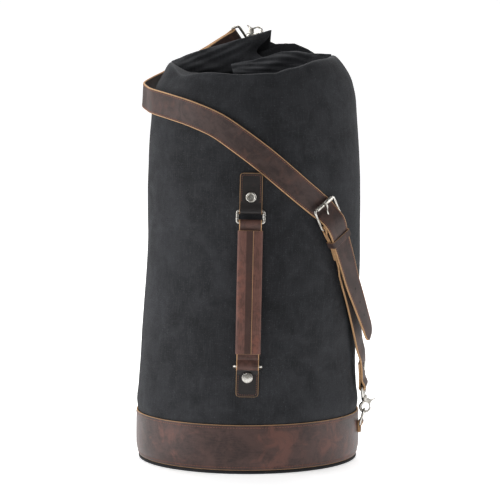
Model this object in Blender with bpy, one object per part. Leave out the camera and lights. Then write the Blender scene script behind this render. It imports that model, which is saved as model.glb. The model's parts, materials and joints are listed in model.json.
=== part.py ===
"""Rope storage bag: a round waxed-canvas duffel with a leather base band, a leather grab
handle hung on two rectangular rings, and a buckled leather shoulder strap that is clipped
to a ring at the gathered mouth and to a D-ring on the band with two trigger snaps.

Metres, +Z up.  The origin is the middle of the base's underside, the handle faces -Y, and
angles around the bag are counted from -Y towards +X.
"""
import math

import bmesh
import bpy
import numpy as np
from mathutils import Matrix, Vector

GAP = 0.0003                     # what two touching pieces keep between them

# canvas body
CANVAS = 0.0025                  # wall of doubled waxed canvas
BODY_LEAN = 0.010                # the tube leans this far towards +X between two heights
LEAN_HEIGHTS = (0.11, 0.33)
BODY_SIDES = 48
BAND_TOP = 0.072
BASE_EDGE = 0.0051               # the canvas wall starts above the base panel

# outer radius of the upright wall, as (height, radius)
WALL = ((BASE_EDGE, 0.1627), (0.0730, 0.1627), (0.0820, 0.1645), (0.110, 0.1622),
        (0.150, 0.1600), (0.200, 0.1600), (0.330, 0.1575), (0.420, 0.1570), (0.500, 0.1525))

# rings of the folded top as (radius, height) at the front, right, back and left
TOP_RINGS = (
    ((0.1495, 0.540), (0.1480, 0.545), (0.1440, 0.532), (0.1480, 0.545)),
    ((0.1420, 0.561), (0.1400, 0.570), (0.1270, 0.551), (0.1370, 0.567)),
    ((0.1300, 0.5765), (0.1165, 0.5970), (0.0940, 0.5715), (0.1210, 0.5880)),
    ((0.0850, 0.5630), (0.1000, 0.5870), (0.0700, 0.5890), (0.1030, 0.5790)),
    ((0.0240, 0.5540), (0.0800, 0.5790), (0.0530, 0.6020), (0.0880, 0.5740)),
)

# base
BASE_RADIUS = 0.1640
BASE_THICK = 0.0048
BOARD_RADIUS = 0.1585
BOARD_THICK = 0.0030
BAND_LEATHER = 0.0024

# grab handle
HANDLE_TILT = math.radians(1.19)
HANDLE_X = 0.0027
HANDLE_Z = 0.266
LEATHER = 0.0022
RING_WIRE = 0.0020
RING_PITCH = 0.0170              # between the centres of a ring's two long bars
RING_SPAN = 0.0385               # between the centres of a ring's two short bars
TOP_BAR = Vector((0, -0.1621, 0.382))
BOTTOM_BAR = Vector((0, -0.1651, 0.156))
TOP_RING_TILT = math.radians(4)          # the rings hang this far outwards
BOTTOM_RING_TILT = math.radians(15)
CHAPE_WIDTH = 0.0325
CHAPE_LENGTH = {"top": 0.0543, "bottom": 0.0424}
CHAPE_SLOPE = {"top": 0, "bottom": 0.052}      # the lower chape follows the flare of the wall
GRIP_WIDTH = 0.0300
FOLD_SLACK = 0.0005              # between a wire and the leather folded round it
GRIP_SLACK = 0.0016              # room for the bottom ring in the grip's lower eye
SLEEVE = (0.0113, 0.1880)        # where the sleeve starts and ends along the grip
SLEEVE_WIDTH = 0.0360
SLEEVE_DEPTH = 0.0094

# shoulder strap
STRAP_WIDTH = 0.0370
STRAP = 0.0028                   # thickness of the strap leather
STRAP_LIFT = 0.0024              # the buckle end stands this far off the canvas
BAR = 0.0018                     # heel bar and roller bar of the buckle
WRAP = BAR + 0.0005 + STRAP / 2  # centre of the leather round a bar
BUCKLE_SPAN = 0.0425
BUCKLE_PITCH = 0.0322
ROLLER = 0.0030
ROLLER_LIFT = 0.0084             # the roller bar stands this far off the canvas

# trigger snaps
SNAP_WIRE = 0.0020
EYE_SPAN = 0.0425
EYE_PITCH = 0.0130
EYE_BAR = 0.0340                 # from the middle of the hook's loop to the eye's bar
LOOP_RADIUS = 0.0072
GATE_PIVOT = (0.0066, 0.0088)
RING_ANGLE = 82.6                # where the D-ring sits on the band
HOOK_REACH = 0.1762              # the lower hook's middle from the bag's axis

FINISHES = {
    "canvas": ((0.040, 0.041, 0.045), 0.85, 0.0),
    "base_cloth": ((0.020, 0.020, 0.022), 0.80, 0.0),
    "board": ((0.060, 0.055, 0.050), 0.90, 0.0),
    "band_leather": ((0.095, 0.060, 0.052), 0.55, 0.0),
    "strap_leather": ((0.095, 0.070, 0.064), 0.50, 0.0),
    "handle_leather": ((0.120, 0.065, 0.050), 0.55, 0.0),
    "chape_leather": ((0.035, 0.028, 0.027), 0.50, 0.0),
    "nickel": ((0.560, 0.540, 0.510), 0.28, 1.0),
}


# ---------------------------------------------------------------- scene and materials

def clear_scene():
    for old in list(bpy.data.objects):
        bpy.data.objects.remove(old, do_unlink=True)


def finish(name):
    """The Principled material of one of the bag's finishes."""
    made = bpy.data.materials.get(name)
    if made is None:
        colour, roughness, metallic = FINISHES[name]
        made = bpy.data.materials.new(name)
        made.use_nodes = True
        shader = made.node_tree.nodes["Principled BSDF"]
        shader.inputs["Base Color"].default_value = (*colour, 1)
        shader.inputs["Roughness"].default_value = roughness
        shader.inputs["Metallic"].default_value = metallic
    return made


def empty(name, matrix, parent=None):
    made = bpy.data.objects.new(name, None)
    made.empty_display_size = 0.02
    made.matrix_basis = matrix
    made.parent = parent
    bpy.context.collection.objects.link(made)
    return made


def add(name, points, faces, look, origin=(0, 0, 0), parent=None, sharp=40):
    """A mesh object from points in its parent's frame, with its own origin at `origin`."""
    mesh = bpy.data.meshes.new(name)
    shape = bmesh.new()
    corners = [shape.verts.new(Vector(p) - Vector(origin)) for p in points]
    for face in faces:
        shape.faces.new([corners[i] for i in face])
    bmesh.ops.remove_doubles(shape, verts=shape.verts, dist=1e-6)
    bmesh.ops.recalc_face_normals(shape, faces=shape.faces)
    shape.to_mesh(mesh)
    shape.free()
    mesh.shade_smooth()
    mesh.set_sharp_from_angle(angle=math.radians(sharp))
    made = bpy.data.objects.new(name, mesh)
    made.location = origin
    made.parent = parent
    if look:
        mesh.materials.append(finish(look))
    bpy.context.collection.objects.link(made)
    return made


def boolean(target, tool, operation):
    """Cut `tool` out of `target`, or join it on, and keep the tool only as a guide."""
    tool.hide_render = True
    tool.display_type = "WIRE"
    step = target.modifiers.new(f"{operation.lower()} {tool.name}", "BOOLEAN")
    step.operation = operation
    step.solver = "EXACT"
    step.object = tool


# ---------------------------------------------------------------- shape tools

def smooth_route(points, count):
    """`count` even steps along a smooth curve through the points; extra columns follow."""
    points = np.asarray(points, float)
    steps = np.linalg.norm(np.diff(points[:, :3], axis=0), axis=1)
    knots = np.concatenate([[0], np.cumsum(steps)])
    slopes = np.gradient(points, knots, axis=0)
    fine = np.linspace(0, knots[-1], 40 * len(points))
    left = np.clip(np.searchsorted(knots, fine, side="right") - 1, 0, len(knots) - 2)
    span = (knots[left + 1] - knots[left])[:, None]
    t = ((fine - knots[left])[:, None]) / span
    curve = ((2 * t**3 - 3 * t**2 + 1) * points[left] + (t**3 - 2 * t**2 + t) * span * slopes[left]
             + (3 * t**2 - 2 * t**3) * points[left + 1] + (t**3 - t**2) * span * slopes[left + 1])
    walked = np.concatenate([[0], np.cumsum(np.linalg.norm(np.diff(curve[:, :3], axis=0), axis=1))])
    even = np.linspace(0, walked[-1], count)
    return np.stack([np.interp(even, walked, curve[:, i]) for i in range(points.shape[1])], axis=1)


def unit(vectors):
    vectors = np.asarray(vectors, float)
    return vectors / np.linalg.norm(vectors, axis=-1, keepdims=True)


def band_faces(rows, columns, closed_rows=False, closed_columns=False):
    """Quads of a grid that is stored row by row."""
    faces = []
    for i in range(rows if closed_rows else rows - 1):
        for j in range(columns if closed_columns else columns - 1):
            below, right = (i + 1) % rows, (j + 1) % columns
            faces.append((i * columns + j, i * columns + right,
                          below * columns + right, below * columns + j))
    return faces


def ribbon(name, centre, across, width, thick, look, **where):
    """A strip of leather: a rectangle carried along a path, with closed ends."""
    centre, across = np.asarray(centre, float), unit(across)
    half = np.broadcast_to(np.asarray(width, float) / 2, (len(centre),))[:, None]
    along = unit(np.gradient(centre, axis=0))
    facing = unit(np.cross(across, along))
    lift = facing * thick / 2
    corners = np.stack([centre + across * half + lift, centre - across * half + lift,
                        centre - across * half - lift, centre + across * half - lift], axis=1)
    faces = band_faces(len(centre), 4, closed_columns=True)
    last = 4 * (len(centre) - 1)
    faces += [(0, 1, 2, 3), (last + 3, last + 2, last + 1, last)]
    return add(name, corners.reshape(-1, 3), faces, look, **where)


def tube(name, path, radius, look, closed=False, sides=8, **where):
    """A round wire along a path, closed on itself or with flat ends."""
    path = np.asarray(path, float)
    if closed:
        along = unit(np.roll(path, -1, axis=0) - np.roll(path, 1, axis=0))
    else:
        along = unit(np.gradient(path, axis=0))
    flat = np.linalg.svd(path - path.mean(axis=0))[2][2]     # normal of the path's plane
    aside = unit(np.cross(along, flat))
    turns = np.arange(sides) * 2 * math.pi / sides
    rings = (path[:, None] + radius * (np.cos(turns)[None, :, None] * aside[:, None]
                                       + np.sin(turns)[None, :, None] * flat))
    faces = band_faces(len(path), sides, closed_rows=closed, closed_columns=True)
    if not closed:
        last = sides * (len(path) - 1)
        faces += [tuple(range(sides)), tuple(last + i for i in reversed(range(sides)))]
    return add(name, rings.reshape(-1, 3), faces, look, **where)


def turned(name, profile, look, axis="Z", at=(0, 0, 0), sides=20, **where):
    """A closed outline of (radius, height) points spun about an axis through `at`."""
    turns = np.arange(sides) * 2 * math.pi / sides
    profile = np.asarray(profile, float)
    radius, height = profile[:, :1], profile[:, 1:] + 0 * turns
    sideways, upwards = radius * np.cos(turns), radius * np.sin(turns)
    order = {"Z": (sideways, upwards, height), "Y": (upwards, height, sideways),
             "X": (height, sideways, upwards)}[axis]
    points = np.stack(order, axis=2) + np.asarray(at, float)
    faces = band_faces(len(profile), sides, closed_rows=True, closed_columns=True)
    return add(name, points.reshape(-1, 3), faces_without_poles(faces, points), look, **where)


def faces_without_poles(faces, points):
    """Faces with the corners that meet on the axis counted once."""
    flat = points.reshape(-1, 3)
    kept = []
    for face in faces:
        corners = []
        for i in face:
            if all(np.linalg.norm(flat[i] - flat[j]) > 1e-7 for j in corners):
                corners.append(i)
        if len(corners) > 2:
            kept.append(tuple(corners))
    return kept


def plate(name, outline, low, high, look, axis="Y", **where):
    """A flat outline given thickness along an axis."""
    order = {"Y": lambda a, b, t: (a, t, b), "Z": lambda a, b, t: (a, b, t),
             "X": lambda a, b, t: (t, a, b)}[axis]
    count = len(outline)
    points = [order(a, b, t) for t in (low, high) for a, b in outline]
    faces = [tuple(range(count)), tuple(range(2 * count - 1, count - 1, -1))]
    faces += [(i, (i + 1) % count, count + (i + 1) % count, count + i) for i in range(count)]
    return add(name, points, faces, look, sharp=30, **where)


def rounded_loop(width, height, corner, steps=4):
    """The middle line of a rectangular ring with round corners, lying in two dimensions."""
    points = []
    for quarter, (sx, sy) in enumerate(((1, 1), (-1, 1), (-1, -1), (1, -1))):
        for i in range(steps + 1):
            turn = math.pi / 2 * (quarter + i / steps)
            points.append((sx * (width / 2 - corner) + corner * math.cos(turn),
                           sy * (height / 2 - corner) + corner * math.sin(turn)))
    return points


def rounded_end(distance, corner):
    """How much a strip narrows on each side at a distance from its round-cornered end."""
    inside = np.clip(corner - np.asarray(distance, float), 0, corner)
    return corner - np.sqrt(corner**2 - inside**2)


def hairpin(wrap, back, front, taper, back_length, front_length, back_steps=2, front_steps=2):
    """Side view of a strip folded round a bar at (0, 0): (along, out) points, back layer first."""
    ease = np.array([0.85, 0.6, 0.35, 0.12])
    blend = ease * ease * (3 - 2 * ease)
    points = [(a, back) for a in np.linspace(back_length, taper, back_steps)]
    points += [(taper * e, -wrap + (back + wrap) * b) for e, b in zip(ease, blend)]
    turns = np.radians(np.linspace(-90, -270, 9))
    points += [(wrap * math.cos(t), wrap * math.sin(t)) for t in turns]
    points += [(taper * e, wrap + (front - wrap) * b) for e, b in zip(ease[::-1], blend[::-1])]
    points += [(a, front) for a in np.linspace(taper, front_length, front_steps)]
    return np.array(points)


# ---------------------------------------------------------------- the canvas and the base

def lean(height):
    """How far the middle of the tube stands towards +X at a height."""
    low, high = LEAN_HEIGHTS
    t = np.clip((np.asarray(height, float) - low) / (high - low), 0, 1)
    return BODY_LEAN * t * t * (3 - 2 * t)


def wall_radius(height):
    heights, radii = zip(*WALL)
    return np.interp(height, heights, radii)


def on_wall(angle, height, off):
    """A point at an angle in degrees around the bag, standing `off` outside the canvas."""
    turn = math.radians(angle)
    reach = float(wall_radius(height)) + off
    return Vector((float(lean(height)) + reach * math.sin(turn), -reach * math.cos(turn), height))


def outwards(angle):
    turn = math.radians(angle)
    return Vector((math.sin(turn), -math.cos(turn), 0))


def body_profile(turn):
    """(radius, height) of the outer canvas from the base to the hem, at one angle."""
    share = (max(0, math.cos(turn))**2, max(0, math.sin(turn))**2,
             max(0, -math.cos(turn))**2, max(0, -math.sin(turn))**2)
    heights = (BASE_EDGE, 0.073, 0.082, 0.110, 0.150, 0.200, 0.265, 0.330, 0.420, 0.500)
    profile = [(float(wall_radius(z)), z) for z in heights]
    for ring in TOP_RINGS:
        profile.append((sum(s * r for s, (r, _) in zip(share, ring)),
                        sum(s * z for s, (_, z) in zip(share, ring))))
    return np.array(profile)


def inset_profile(profile, depth):
    """The same line moved inwards by the wall's thickness."""
    steps = unit(np.diff(profile, axis=0))
    normals = np.stack([-steps[:, 1], steps[:, 0]], axis=1)
    joined = np.vstack([normals[:1], normals[:-1] + normals[1:], normals[-1:]])
    joined = unit(joined)
    spread = np.concatenate([[1], np.clip(np.sum(joined[1:-1] * normals[1:], axis=1), 0.65, 1), [1]])
    return profile + joined * (depth / spread)[:, None]


def canvas_body():
    """The tube of canvas, its shoulder turned in to the hem of the mouth."""
    turns = np.arange(BODY_SIDES) * 2 * math.pi / BODY_SIDES
    outer = np.stack([body_profile(t) for t in turns])
    inner = np.stack([inset_profile(p, CANVAS) for p in outer])
    loop = np.concatenate([outer, inner[:, ::-1]], axis=1)      # angle, along the profile
    radius, height = loop[..., 0], loop[..., 1]
    height = np.maximum(height, BASE_EDGE)
    x = lean(height) + radius * np.sin(turns)[:, None]
    y = -radius * np.cos(turns)[:, None]
    points = np.stack([x, y, height], axis=2)
    faces = band_faces(*loop.shape[:2], closed_rows=True, closed_columns=True)
    return add("canvas_body", points.reshape(-1, 3), faces, "canvas")


def mouth_lobes():
    """The two side folds of the mouth and the gathered back hem, which stand in the mouth."""
    left = ((-0.1080, 0.5905), (-0.0700, 0.6060), (0.0345, 0.6350), (0.0375, 0.6170),
            (0.0300, 0.5950), (0.0100, 0.5700), (-0.0550, 0.5680), (-0.0780, 0.5775),
            (-0.0980, 0.5835))
    right = ((0.1240, 0.6000), (0.1010, 0.6010), (0.0720, 0.6110), (0.0500, 0.6050),
             (0.0340, 0.5990), (0.0200, 0.5935), (-0.0240, 0.5850), (-0.0240, 0.5740),
             (-0.0100, 0.5680), (0.0600, 0.5720), (0.0850, 0.5830), (0.1050, 0.5930))
    back = ((0.0980, 0.6000), (0.0720, 0.6120), (0.0450, 0.6110), (0.0260, 0.6200),
            (0.0020, 0.6200), (-0.0120, 0.6060), (-0.0180, 0.5980), (0.0860, 0.5960))
    plate("mouth_fold_left", left, 0.0080, 0.0150, "canvas")
    plate("mouth_fold_right", right, -0.0060, 0.0020, "canvas")
    hem = plate("mouth_hem_back", back, 0.0400, 0.0440, "canvas")
    return hem


def base_pieces():
    """The round base panel, the stiff board on it and the leather band around the foot."""
    edge = ((0, 0), (0.1610, 0), (0.1632, 0.0010), (BASE_RADIUS, 0.0026),
            (0.1632, 0.0042), (0.1615, BASE_THICK), (0, BASE_THICK))
    turned("base_panel", edge, "base_cloth", sides=BODY_SIDES)
    low = BASE_THICK + GAP
    board = ((0, low), (BOARD_RADIUS, low), (BOARD_RADIUS, low + BOARD_THICK), (0, low + BOARD_THICK))
    turned("base_board", board, "board", sides=BODY_SIDES)

    turns = np.arange(BODY_SIDES) * 2 * math.pi / BODY_SIDES
    inner = WALL[0][1] + GAP
    outline = np.array([(inner, 0.0054), (inner, BAND_TOP), (inner + BAND_LEATHER, BAND_TOP),
                        (inner + BAND_LEATHER, 0.0054)])
    x = lean(outline[:, 1])[None] + outline[None, :, 0] * np.sin(turns)[:, None]
    y = -outline[None, :, 0] * np.cos(turns)[:, None]
    z = outline[None, :, 1] + 0 * x
    points = np.stack([x, y, z], axis=2)
    faces = band_faces(BODY_SIDES, 4, closed_rows=True, closed_columns=True)
    add("base_band", points.reshape(-1, 3), faces, "band_leather")


# ---------------------------------------------------------------- fasteners

def rivet(name, cap_radius, cap_out, reach, look="nickel", **where):
    """A cap rivet along -Y: domed cap at `cap_out`, a post, and a washer `reach` behind."""
    post, washer, thick = 0.0018, 0.0050, 0.0012
    profile = ((0, -cap_out - 0.0019), (cap_radius * 0.55, -cap_out - 0.0016),
               (cap_radius * 0.9, -cap_out - 0.0008), (cap_radius, -cap_out),
               (post, -cap_out), (post, reach), (washer, reach), (washer, reach + thick),
               (0, reach + thick))
    return turned(name, profile, look, axis="Y", **where)


def rivet_hole(name, radius, front, back, **where):
    """The guide that opens a rivet's hole."""
    profile = ((0, -front), (radius, -front), (radius, back), (0, back))
    return turned(name, profile, None, axis="Y", sides=12, **where)


# ---------------------------------------------------------------- the grab handle

def chape(end, frame, bar):
    """A leather tab folded round a ring's bar, its two layers riveted to the canvas."""
    sign = 1 if end == "top" else -1
    wrap = RING_WIRE + FOLD_SLACK + LEATHER / 2
    length = CHAPE_LENGTH[end]
    taper = 0.0125 if end == "top" else 0.0100
    side = hairpin(wrap, -wrap, -wrap + LEATHER + 0.0002, taper, length, length, 5, 5)
    outward = side[:, 1] + CHAPE_SLOPE[end] * side[:, 0]
    centre = np.stack([0 * side[:, 0], bar.y - outward, bar.z + sign * side[:, 0]], axis=1)
    width = CHAPE_WIDTH - 2 * rounded_end(length - side[:, 0], 0.005)
    tab = ribbon(f"handle_{end}_chape", centre, [(1, 0, 0)] * len(centre), width, LEATHER,
                 "chape_leather", parent=frame)
    return tab


def ring_loop(name, frame, bar, turn):
    """A rectangular ring hinged on a chape, hanging from `bar` or standing out from it."""
    flat = np.array(rounded_loop(RING_SPAN, RING_PITCH, 0.0030))
    down = np.array([0, -math.sin(turn), -math.cos(turn)])
    middle = np.array(bar) + down * RING_PITCH / 2
    path = middle + flat[:, :1] * np.array([1, 0, 0]) + flat[:, 1:] * down
    return tube(name, path, RING_WIRE, "nickel", closed=True, origin=bar, parent=frame)


def grip(frame, top, bottom):
    """The grip strap, folded round both rings, and the leather sleeve stitched round it."""
    span = bottom - top
    length = span.length
    down = span.normalized()
    out = Vector((0, down.z, -down.y))                      # away from the bag
    upper_wrap = RING_WIRE + FOLD_SLACK + LEATHER / 2
    lower_wrap = RING_WIRE + GRIP_SLACK + LEATHER / 2
    layer = LEATHER / 2 + 0.0002
    upper = hairpin(upper_wrap, -layer, layer, 0.0095, 0.088, 0.0925, 3, 2)
    lower = hairpin(lower_wrap, layer, -layer, 0.0130, 0.0965, 0.101, 2, 3) * (-1, -1)
    lower[:, 0] += length
    lower[:, 1] *= -1
    side = np.vstack([upper, lower])
    centre = [top + down * a + out * b for a, b in side]
    width = np.full(len(centre), GRIP_WIDTH)
    width[[0, -1]] -= (0.0030, 0.0044)                      # the hidden ends are trimmed
    ribbon("handle_grip_strap", centre, [(1, 0, 0)] * len(centre), width, LEATHER,
           "handle_leather", parent=frame, origin=top)

    rows = []
    for start, end in (SLEEVE, SLEEVE[::-1]):
        inner = start > end
        half = (SLEEVE_WIDTH / 2, SLEEVE_DEPTH / 2)
        if inner:
            half = (GRIP_WIDTH / 2 + 0.0012, LEATHER + 0.0009)
        for a in np.linspace(start, end, 4):
            ring = []
            for i in range(28):
                turn = 2 * math.pi * i / 28
                c, s = math.cos(turn), math.sin(turn)
                x = half[0] * math.copysign(abs(c)**(0.20 if inner else 0.35), c)
                y = half[1] * math.copysign(abs(s)**(0.20 if inner else 0.45), s)
                ring.append(top + down * a + out * y + Vector((x, 0, 0)))
            rows.append(ring)
    points = [p for ring in rows for p in ring]
    faces = band_faces(len(rows), 28, closed_rows=True, closed_columns=True)
    add("handle_sleeve", points, faces, "handle_leather", parent=frame, origin=top)


def grab_handle(canvas):
    """Two chapes, two rings, the grip between them, and the two rivets with their holes."""
    frame = empty("handle_frame", Matrix.Translation((HANDLE_X, 0, HANDLE_Z))
                  @ Matrix.Rotation(HANDLE_TILT, 4, "Y"))
    down = Vector((0, 0, HANDLE_Z))
    top_bar, bottom_bar = TOP_BAR - down, BOTTOM_BAR - down
    hang = Vector((0, -math.sin(TOP_RING_TILT), -math.cos(TOP_RING_TILT)))
    top_grip = top_bar + hang * RING_PITCH
    stand = Vector((0, -math.cos(BOTTOM_RING_TILT), math.sin(BOTTOM_RING_TILT)))
    bottom_grip = bottom_bar + stand * RING_PITCH

    ring_loop("handle_top_ring", frame, top_bar, TOP_RING_TILT)
    ring_loop("handle_bottom_ring", frame, bottom_bar, math.pi / 2 + BOTTOM_RING_TILT)
    grip(frame, top_grip, bottom_grip)
    for end, bar, height, cap, reach in (("top", top_bar, 0.4018, 0.0009, 0.0092),
                                         ("bottom", bottom_bar, 0.1420, 0.0025, 0.0082)):
        tab = chape(end, frame, bar)
        at = (0, bar.y - 0.0003, height - HANDLE_Z)
        fixing = f"handle_{end}_rivet"
        rivet(fixing, 0.0076, cap, reach, at=at, origin=at, parent=frame)
        hole = rivet_hole(f"{fixing}_hole", 0.0021, 0.010, 0.014, at=at, origin=at, parent=frame)
        boolean(tab, hole, "DIFFERENCE")
        boolean(canvas, hole, "DIFFERENCE")


# ---------------------------------------------------------------- the shoulder strap

# where the strap runs, as (angle, height, stand-off of the strap's middle from the canvas)
FRONT_ROUTE = ((-88, 0.5335, 0.0045), (-68.5, 0.532, 0.0040), (-50.8, 0.527, 0.0035),
               (-34.7, 0.518, 0.0030), (-19.1, 0.502, 0.0025), (-8.3, 0.483, 0.0022),
               (4.0, 0.458, 0.0020), (19.1, 0.423, 0.0020), (26.5, 0.406, 0.0020),
               (31.0, 0.3965, 0.0020))
# over the back of the left shoulder to the top snap, as places and grain-side directions
SHOULDER_ROUTE = (((-0.0130, 0.0580, 0.6180), (-0.20, 0.93, 0.30)),
                  ((-0.0256, 0.0600, 0.6105), (-0.20, 0.93, 0.30)),
                  ((-0.0560, 0.0790, 0.5930), (-0.26, 0.86, 0.44)),
                  ((-0.0900, 0.0970, 0.5740), (-0.45, 0.76, 0.46)),
                  ((-0.1220, 0.0910, 0.5560), (-0.68, 0.62, 0.38)),
                  ((-0.1440, 0.0600, 0.5450), (-0.88, 0.42, 0.22)),
                  ((-0.1540, 0.0300, 0.5385), (-0.97, 0.20, 0.10)))
BUCKLE_ANGLE, BUCKLE_HEIGHT = 42.8, 0.3608    # the heel bar
ROLLER_ANGLE, ROLLER_HEIGHT = 37.2, 0.3888
# from the heel bar down to the lower snap, where the strap hangs clear of the canvas
LOWER_ROUTE = ((42.8, 0.3608, 0), (44.4, 0.3530, 0), (47.4, 0.3400, 0), (52.8, 0.3060, 0),
               (58.4, 0.2720, 0), (63.8, 0.2430, 0.0003), (68.9, 0.2160, 0.0010),
               (73.2, 0.1900, 0.0030), (76.9, 0.1650, 0.0055), (80.0, 0.1400, 0.0060),
               (81.5, 0.1230, 0.0050), (82.0, 0.1105, 0.0038))
TONGUE_ROUTE = ((47.6, 0.3400, 0), (52.7, 0.3060, 0), (58.2, 0.2720, 0.001),
                (64.5, 0.2420, 0.0035), (71.0, 0.2130, 0.0070), (76.5, 0.1850, 0.0130))


def frames(points, facing):
    """Across and outward directions of a strip that lies on a path."""
    along = unit(np.gradient(points, axis=0))
    across = unit(np.cross(along, facing))
    return across, unit(np.cross(across, along))


def fold_along(path, facing, side):
    """Lay a side view (distance, out) on a path; returns centre points and across directions."""
    across, out = frames(path, facing)
    walked = np.concatenate([[0], np.cumsum(np.linalg.norm(np.diff(path, axis=0), axis=1))])
    along = unit(np.gradient(path, axis=0))
    reach = np.clip(side[:, 0], 0, walked[-1])
    pick = [np.stack([np.interp(reach, walked, field[:, i]) for i in range(3)], axis=1)
            for field in (path, out, across, along)]
    places, outs, acrosses, alongs = pick
    beyond = (side[:, 0] - reach)[:, None]
    return places + outs * side[:, 1:2] + alongs * beyond, acrosses


def path_length(path):
    return float(np.linalg.norm(np.diff(path, axis=0), axis=1).sum())


def short_strap():
    """The lower strap: folded round the buckle's heel bar and round the lower snap's eye."""
    points = [(*on_wall(a, z, off), *outwards(a)) for a, z, off in LOWER_ROUTE]
    route = smooth_route(points, 60)
    path, facing = route[:, :3], route[:, 3:]
    length = path_length(path)
    inner = STRAP_LIFT + STRAP / 2                  # the folded-back layer next to the canvas
    outer = inner + STRAP + GAP
    heel = inner + WRAP
    top = hairpin(WRAP, -WRAP, outer - heel, 0.011, 0.055, 0.060, 6, 4)
    top[:, 1] += heel
    run = np.array([(0.070, outer - 0.0012), (0.080, inner)]
                   + [(a, inner) for a in np.linspace(0.090, length - 0.070, 12)]
                   + [(length - 0.058, inner + 0.0008), (length - 0.048, outer - 0.0003)])
    low = hairpin(WRAP + 0.0002, -WRAP - 0.0002, outer - heel, 0.012, 0.042, 0.040, 5, 4)[::-1]
    low[:, 0] = length - low[:, 0]
    low[:, 1] += heel + 0.0002
    side = np.vstack([top, run, low])
    centre, across = fold_along(path, facing, side)
    strap = ribbon("shoulder_strap_short", centre, across, STRAP_WIDTH, STRAP, "strap_leather")
    end_across, end_out = frames(path, facing)
    eye = Vector(path[-1] + end_out[-1] * (heel + 0.0002))
    return strap, path, facing, eye, Vector(end_across[-1]), heel


def long_strap(heel):
    """The upper strap: round the top snap's eye, over the shoulder, down the front, under the
    roller, over the heel bar and on as the free tongue."""
    over_heel = heel + WRAP + STRAP + 2 * GAP + 0.0008
    over_strap = STRAP_LIFT + 2.5 * STRAP + 2 * GAP + 0.0007
    top = [(*place, *way) for place, way in SHOULDER_ROUTE]
    front = [(*on_wall(a, z, off), *outwards(a)) for a, z, off in FRONT_ROUTE]
    climb = ((ROLLER_ANGLE - 1.0, ROLLER_HEIGHT - 0.0030, 0.0019), (38.3, 0.3815, 0.0028),
             (40.2, 0.3740, 0.0078), (BUCKLE_ANGLE, BUCKLE_HEIGHT, over_heel),
             (44.9, 0.3515, over_heel - 0.0009))
    climb = [(*on_wall(a, z, off), *outwards(a)) for a, z, off in climb]
    tongue = [(*on_wall(a, z, over_strap + off), *outwards(a)) for a, z, off in TONGUE_ROUTE]
    route = smooth_route(top + front + climb + tongue, 150)
    path, facing = route[:, :3], route[:, 3:]
    length = path_length(path)
    fold = hairpin(WRAP, -STRAP - GAP, 0, 0.012, 0.050, 0.014, 5, 1)
    run = np.array([(a, 0) for a in np.linspace(0.018, length, 118)])
    side = np.vstack([fold, run])
    centre, across = fold_along(path, facing, side)
    to_end = np.where(np.arange(len(side)) > len(fold), length - side[:, 0], 1)
    width = STRAP_WIDTH - 2 * rounded_end(to_end, 0.013)
    strap = ribbon("shoulder_strap_long", centre, across, width, STRAP, "strap_leather")
    return strap, path, facing, Vector(path[0]), Vector(frames(path, facing)[0][0])


def buckle(heel, path, facing, short, long):
    """Frame with heel bar and roller bar, the roller and the prong, square to the strap's fold."""
    across, out = frames(path, facing)
    side = -Vector(across[0])
    low = Vector(path[0]) + Vector(out[0]) * heel
    high = on_wall(ROLLER_ANGLE, ROLLER_HEIGHT, ROLLER_LIFT)
    up = high - low
    up = (up - side * up.dot(side)).normalized()
    out = side.cross(up).normalized()
    turn = Matrix((side, up, out)).transposed().to_4x4()
    frame = empty("buckle_axes", Matrix.Translation(low) @ turn)
    pitch = BUCKLE_PITCH

    flat = np.array(rounded_loop(BUCKLE_SPAN, pitch, 0.0035))
    path = [(a, b + pitch / 2, 0) for a, b in flat]
    tube("buckle_frame", path, BAR, "nickel", closed=True, parent=frame)
    roller_half = BUCKLE_SPAN / 2 - 0.0062
    bore = BAR + 0.0003
    turned("buckle_roller", ((bore, -roller_half), (ROLLER, -roller_half), (ROLLER, roller_half),
                             (bore, roller_half)), "nickel", axis="X", at=(0, pitch, 0),
           origin=(0, pitch, 0), sides=16, parent=frame)

    # the prong: a ring round the heel bar and a finger that rests on the roller
    width = 0.0034
    knuckle = turned("buckle_prong", ((BAR + 0.0003, -width / 2), (BAR + 0.0019, -width / 2),
                                      (BAR + 0.0019, width / 2), (BAR + 0.0003, width / 2)),
                     "nickel", axis="X", sides=16, parent=frame)
    rest = ROLLER + 0.0004
    finger = ((0.0026, -0.0014), (0.0150, 0.0036), (pitch - 0.0030, rest - 0.0004),
              (pitch + 0.0005, rest), (pitch + 0.0032, rest - 0.0006), (pitch + 0.0034, rest + 0.0006),
              (pitch + 0.0008, rest + 0.0022), (pitch - 0.0040, rest + 0.0020),
              (0.0140, 0.0062), (0.0026, 0.0020))
    arm = plate("buckle_prong_finger", finger, -width / 2, width / 2, None, axis="X", parent=frame)
    boolean(knuckle, arm, "UNION")

    slot = plate("prong_slot", ((-0.0080, -0.0060), (0.0062, -0.0060), (0.0062, 0.0062),
                                (-0.0080, 0.0062)), -0.0023, 0.0023, None, axis="X", parent=frame)
    boolean(short, slot, "DIFFERENCE")
    hole = plate("prong_hole", rounded_slot(0.0048, 0.0200, 0.0023), -0.004, 0.016, None,
                 axis="Z", parent=frame)
    boolean(long, hole, "DIFFERENCE")


def rounded_slot(low, high, half):
    """A slot's outline with round ends, from `low` to `high` along the second direction."""
    turns = np.radians(np.linspace(0, 180, 7))
    top = [(half * math.cos(t), high - half + half * math.sin(t)) for t in turns]
    foot = [(-half * math.cos(t), low + half - half * math.sin(t)) for t in turns]
    return top + foot


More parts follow.
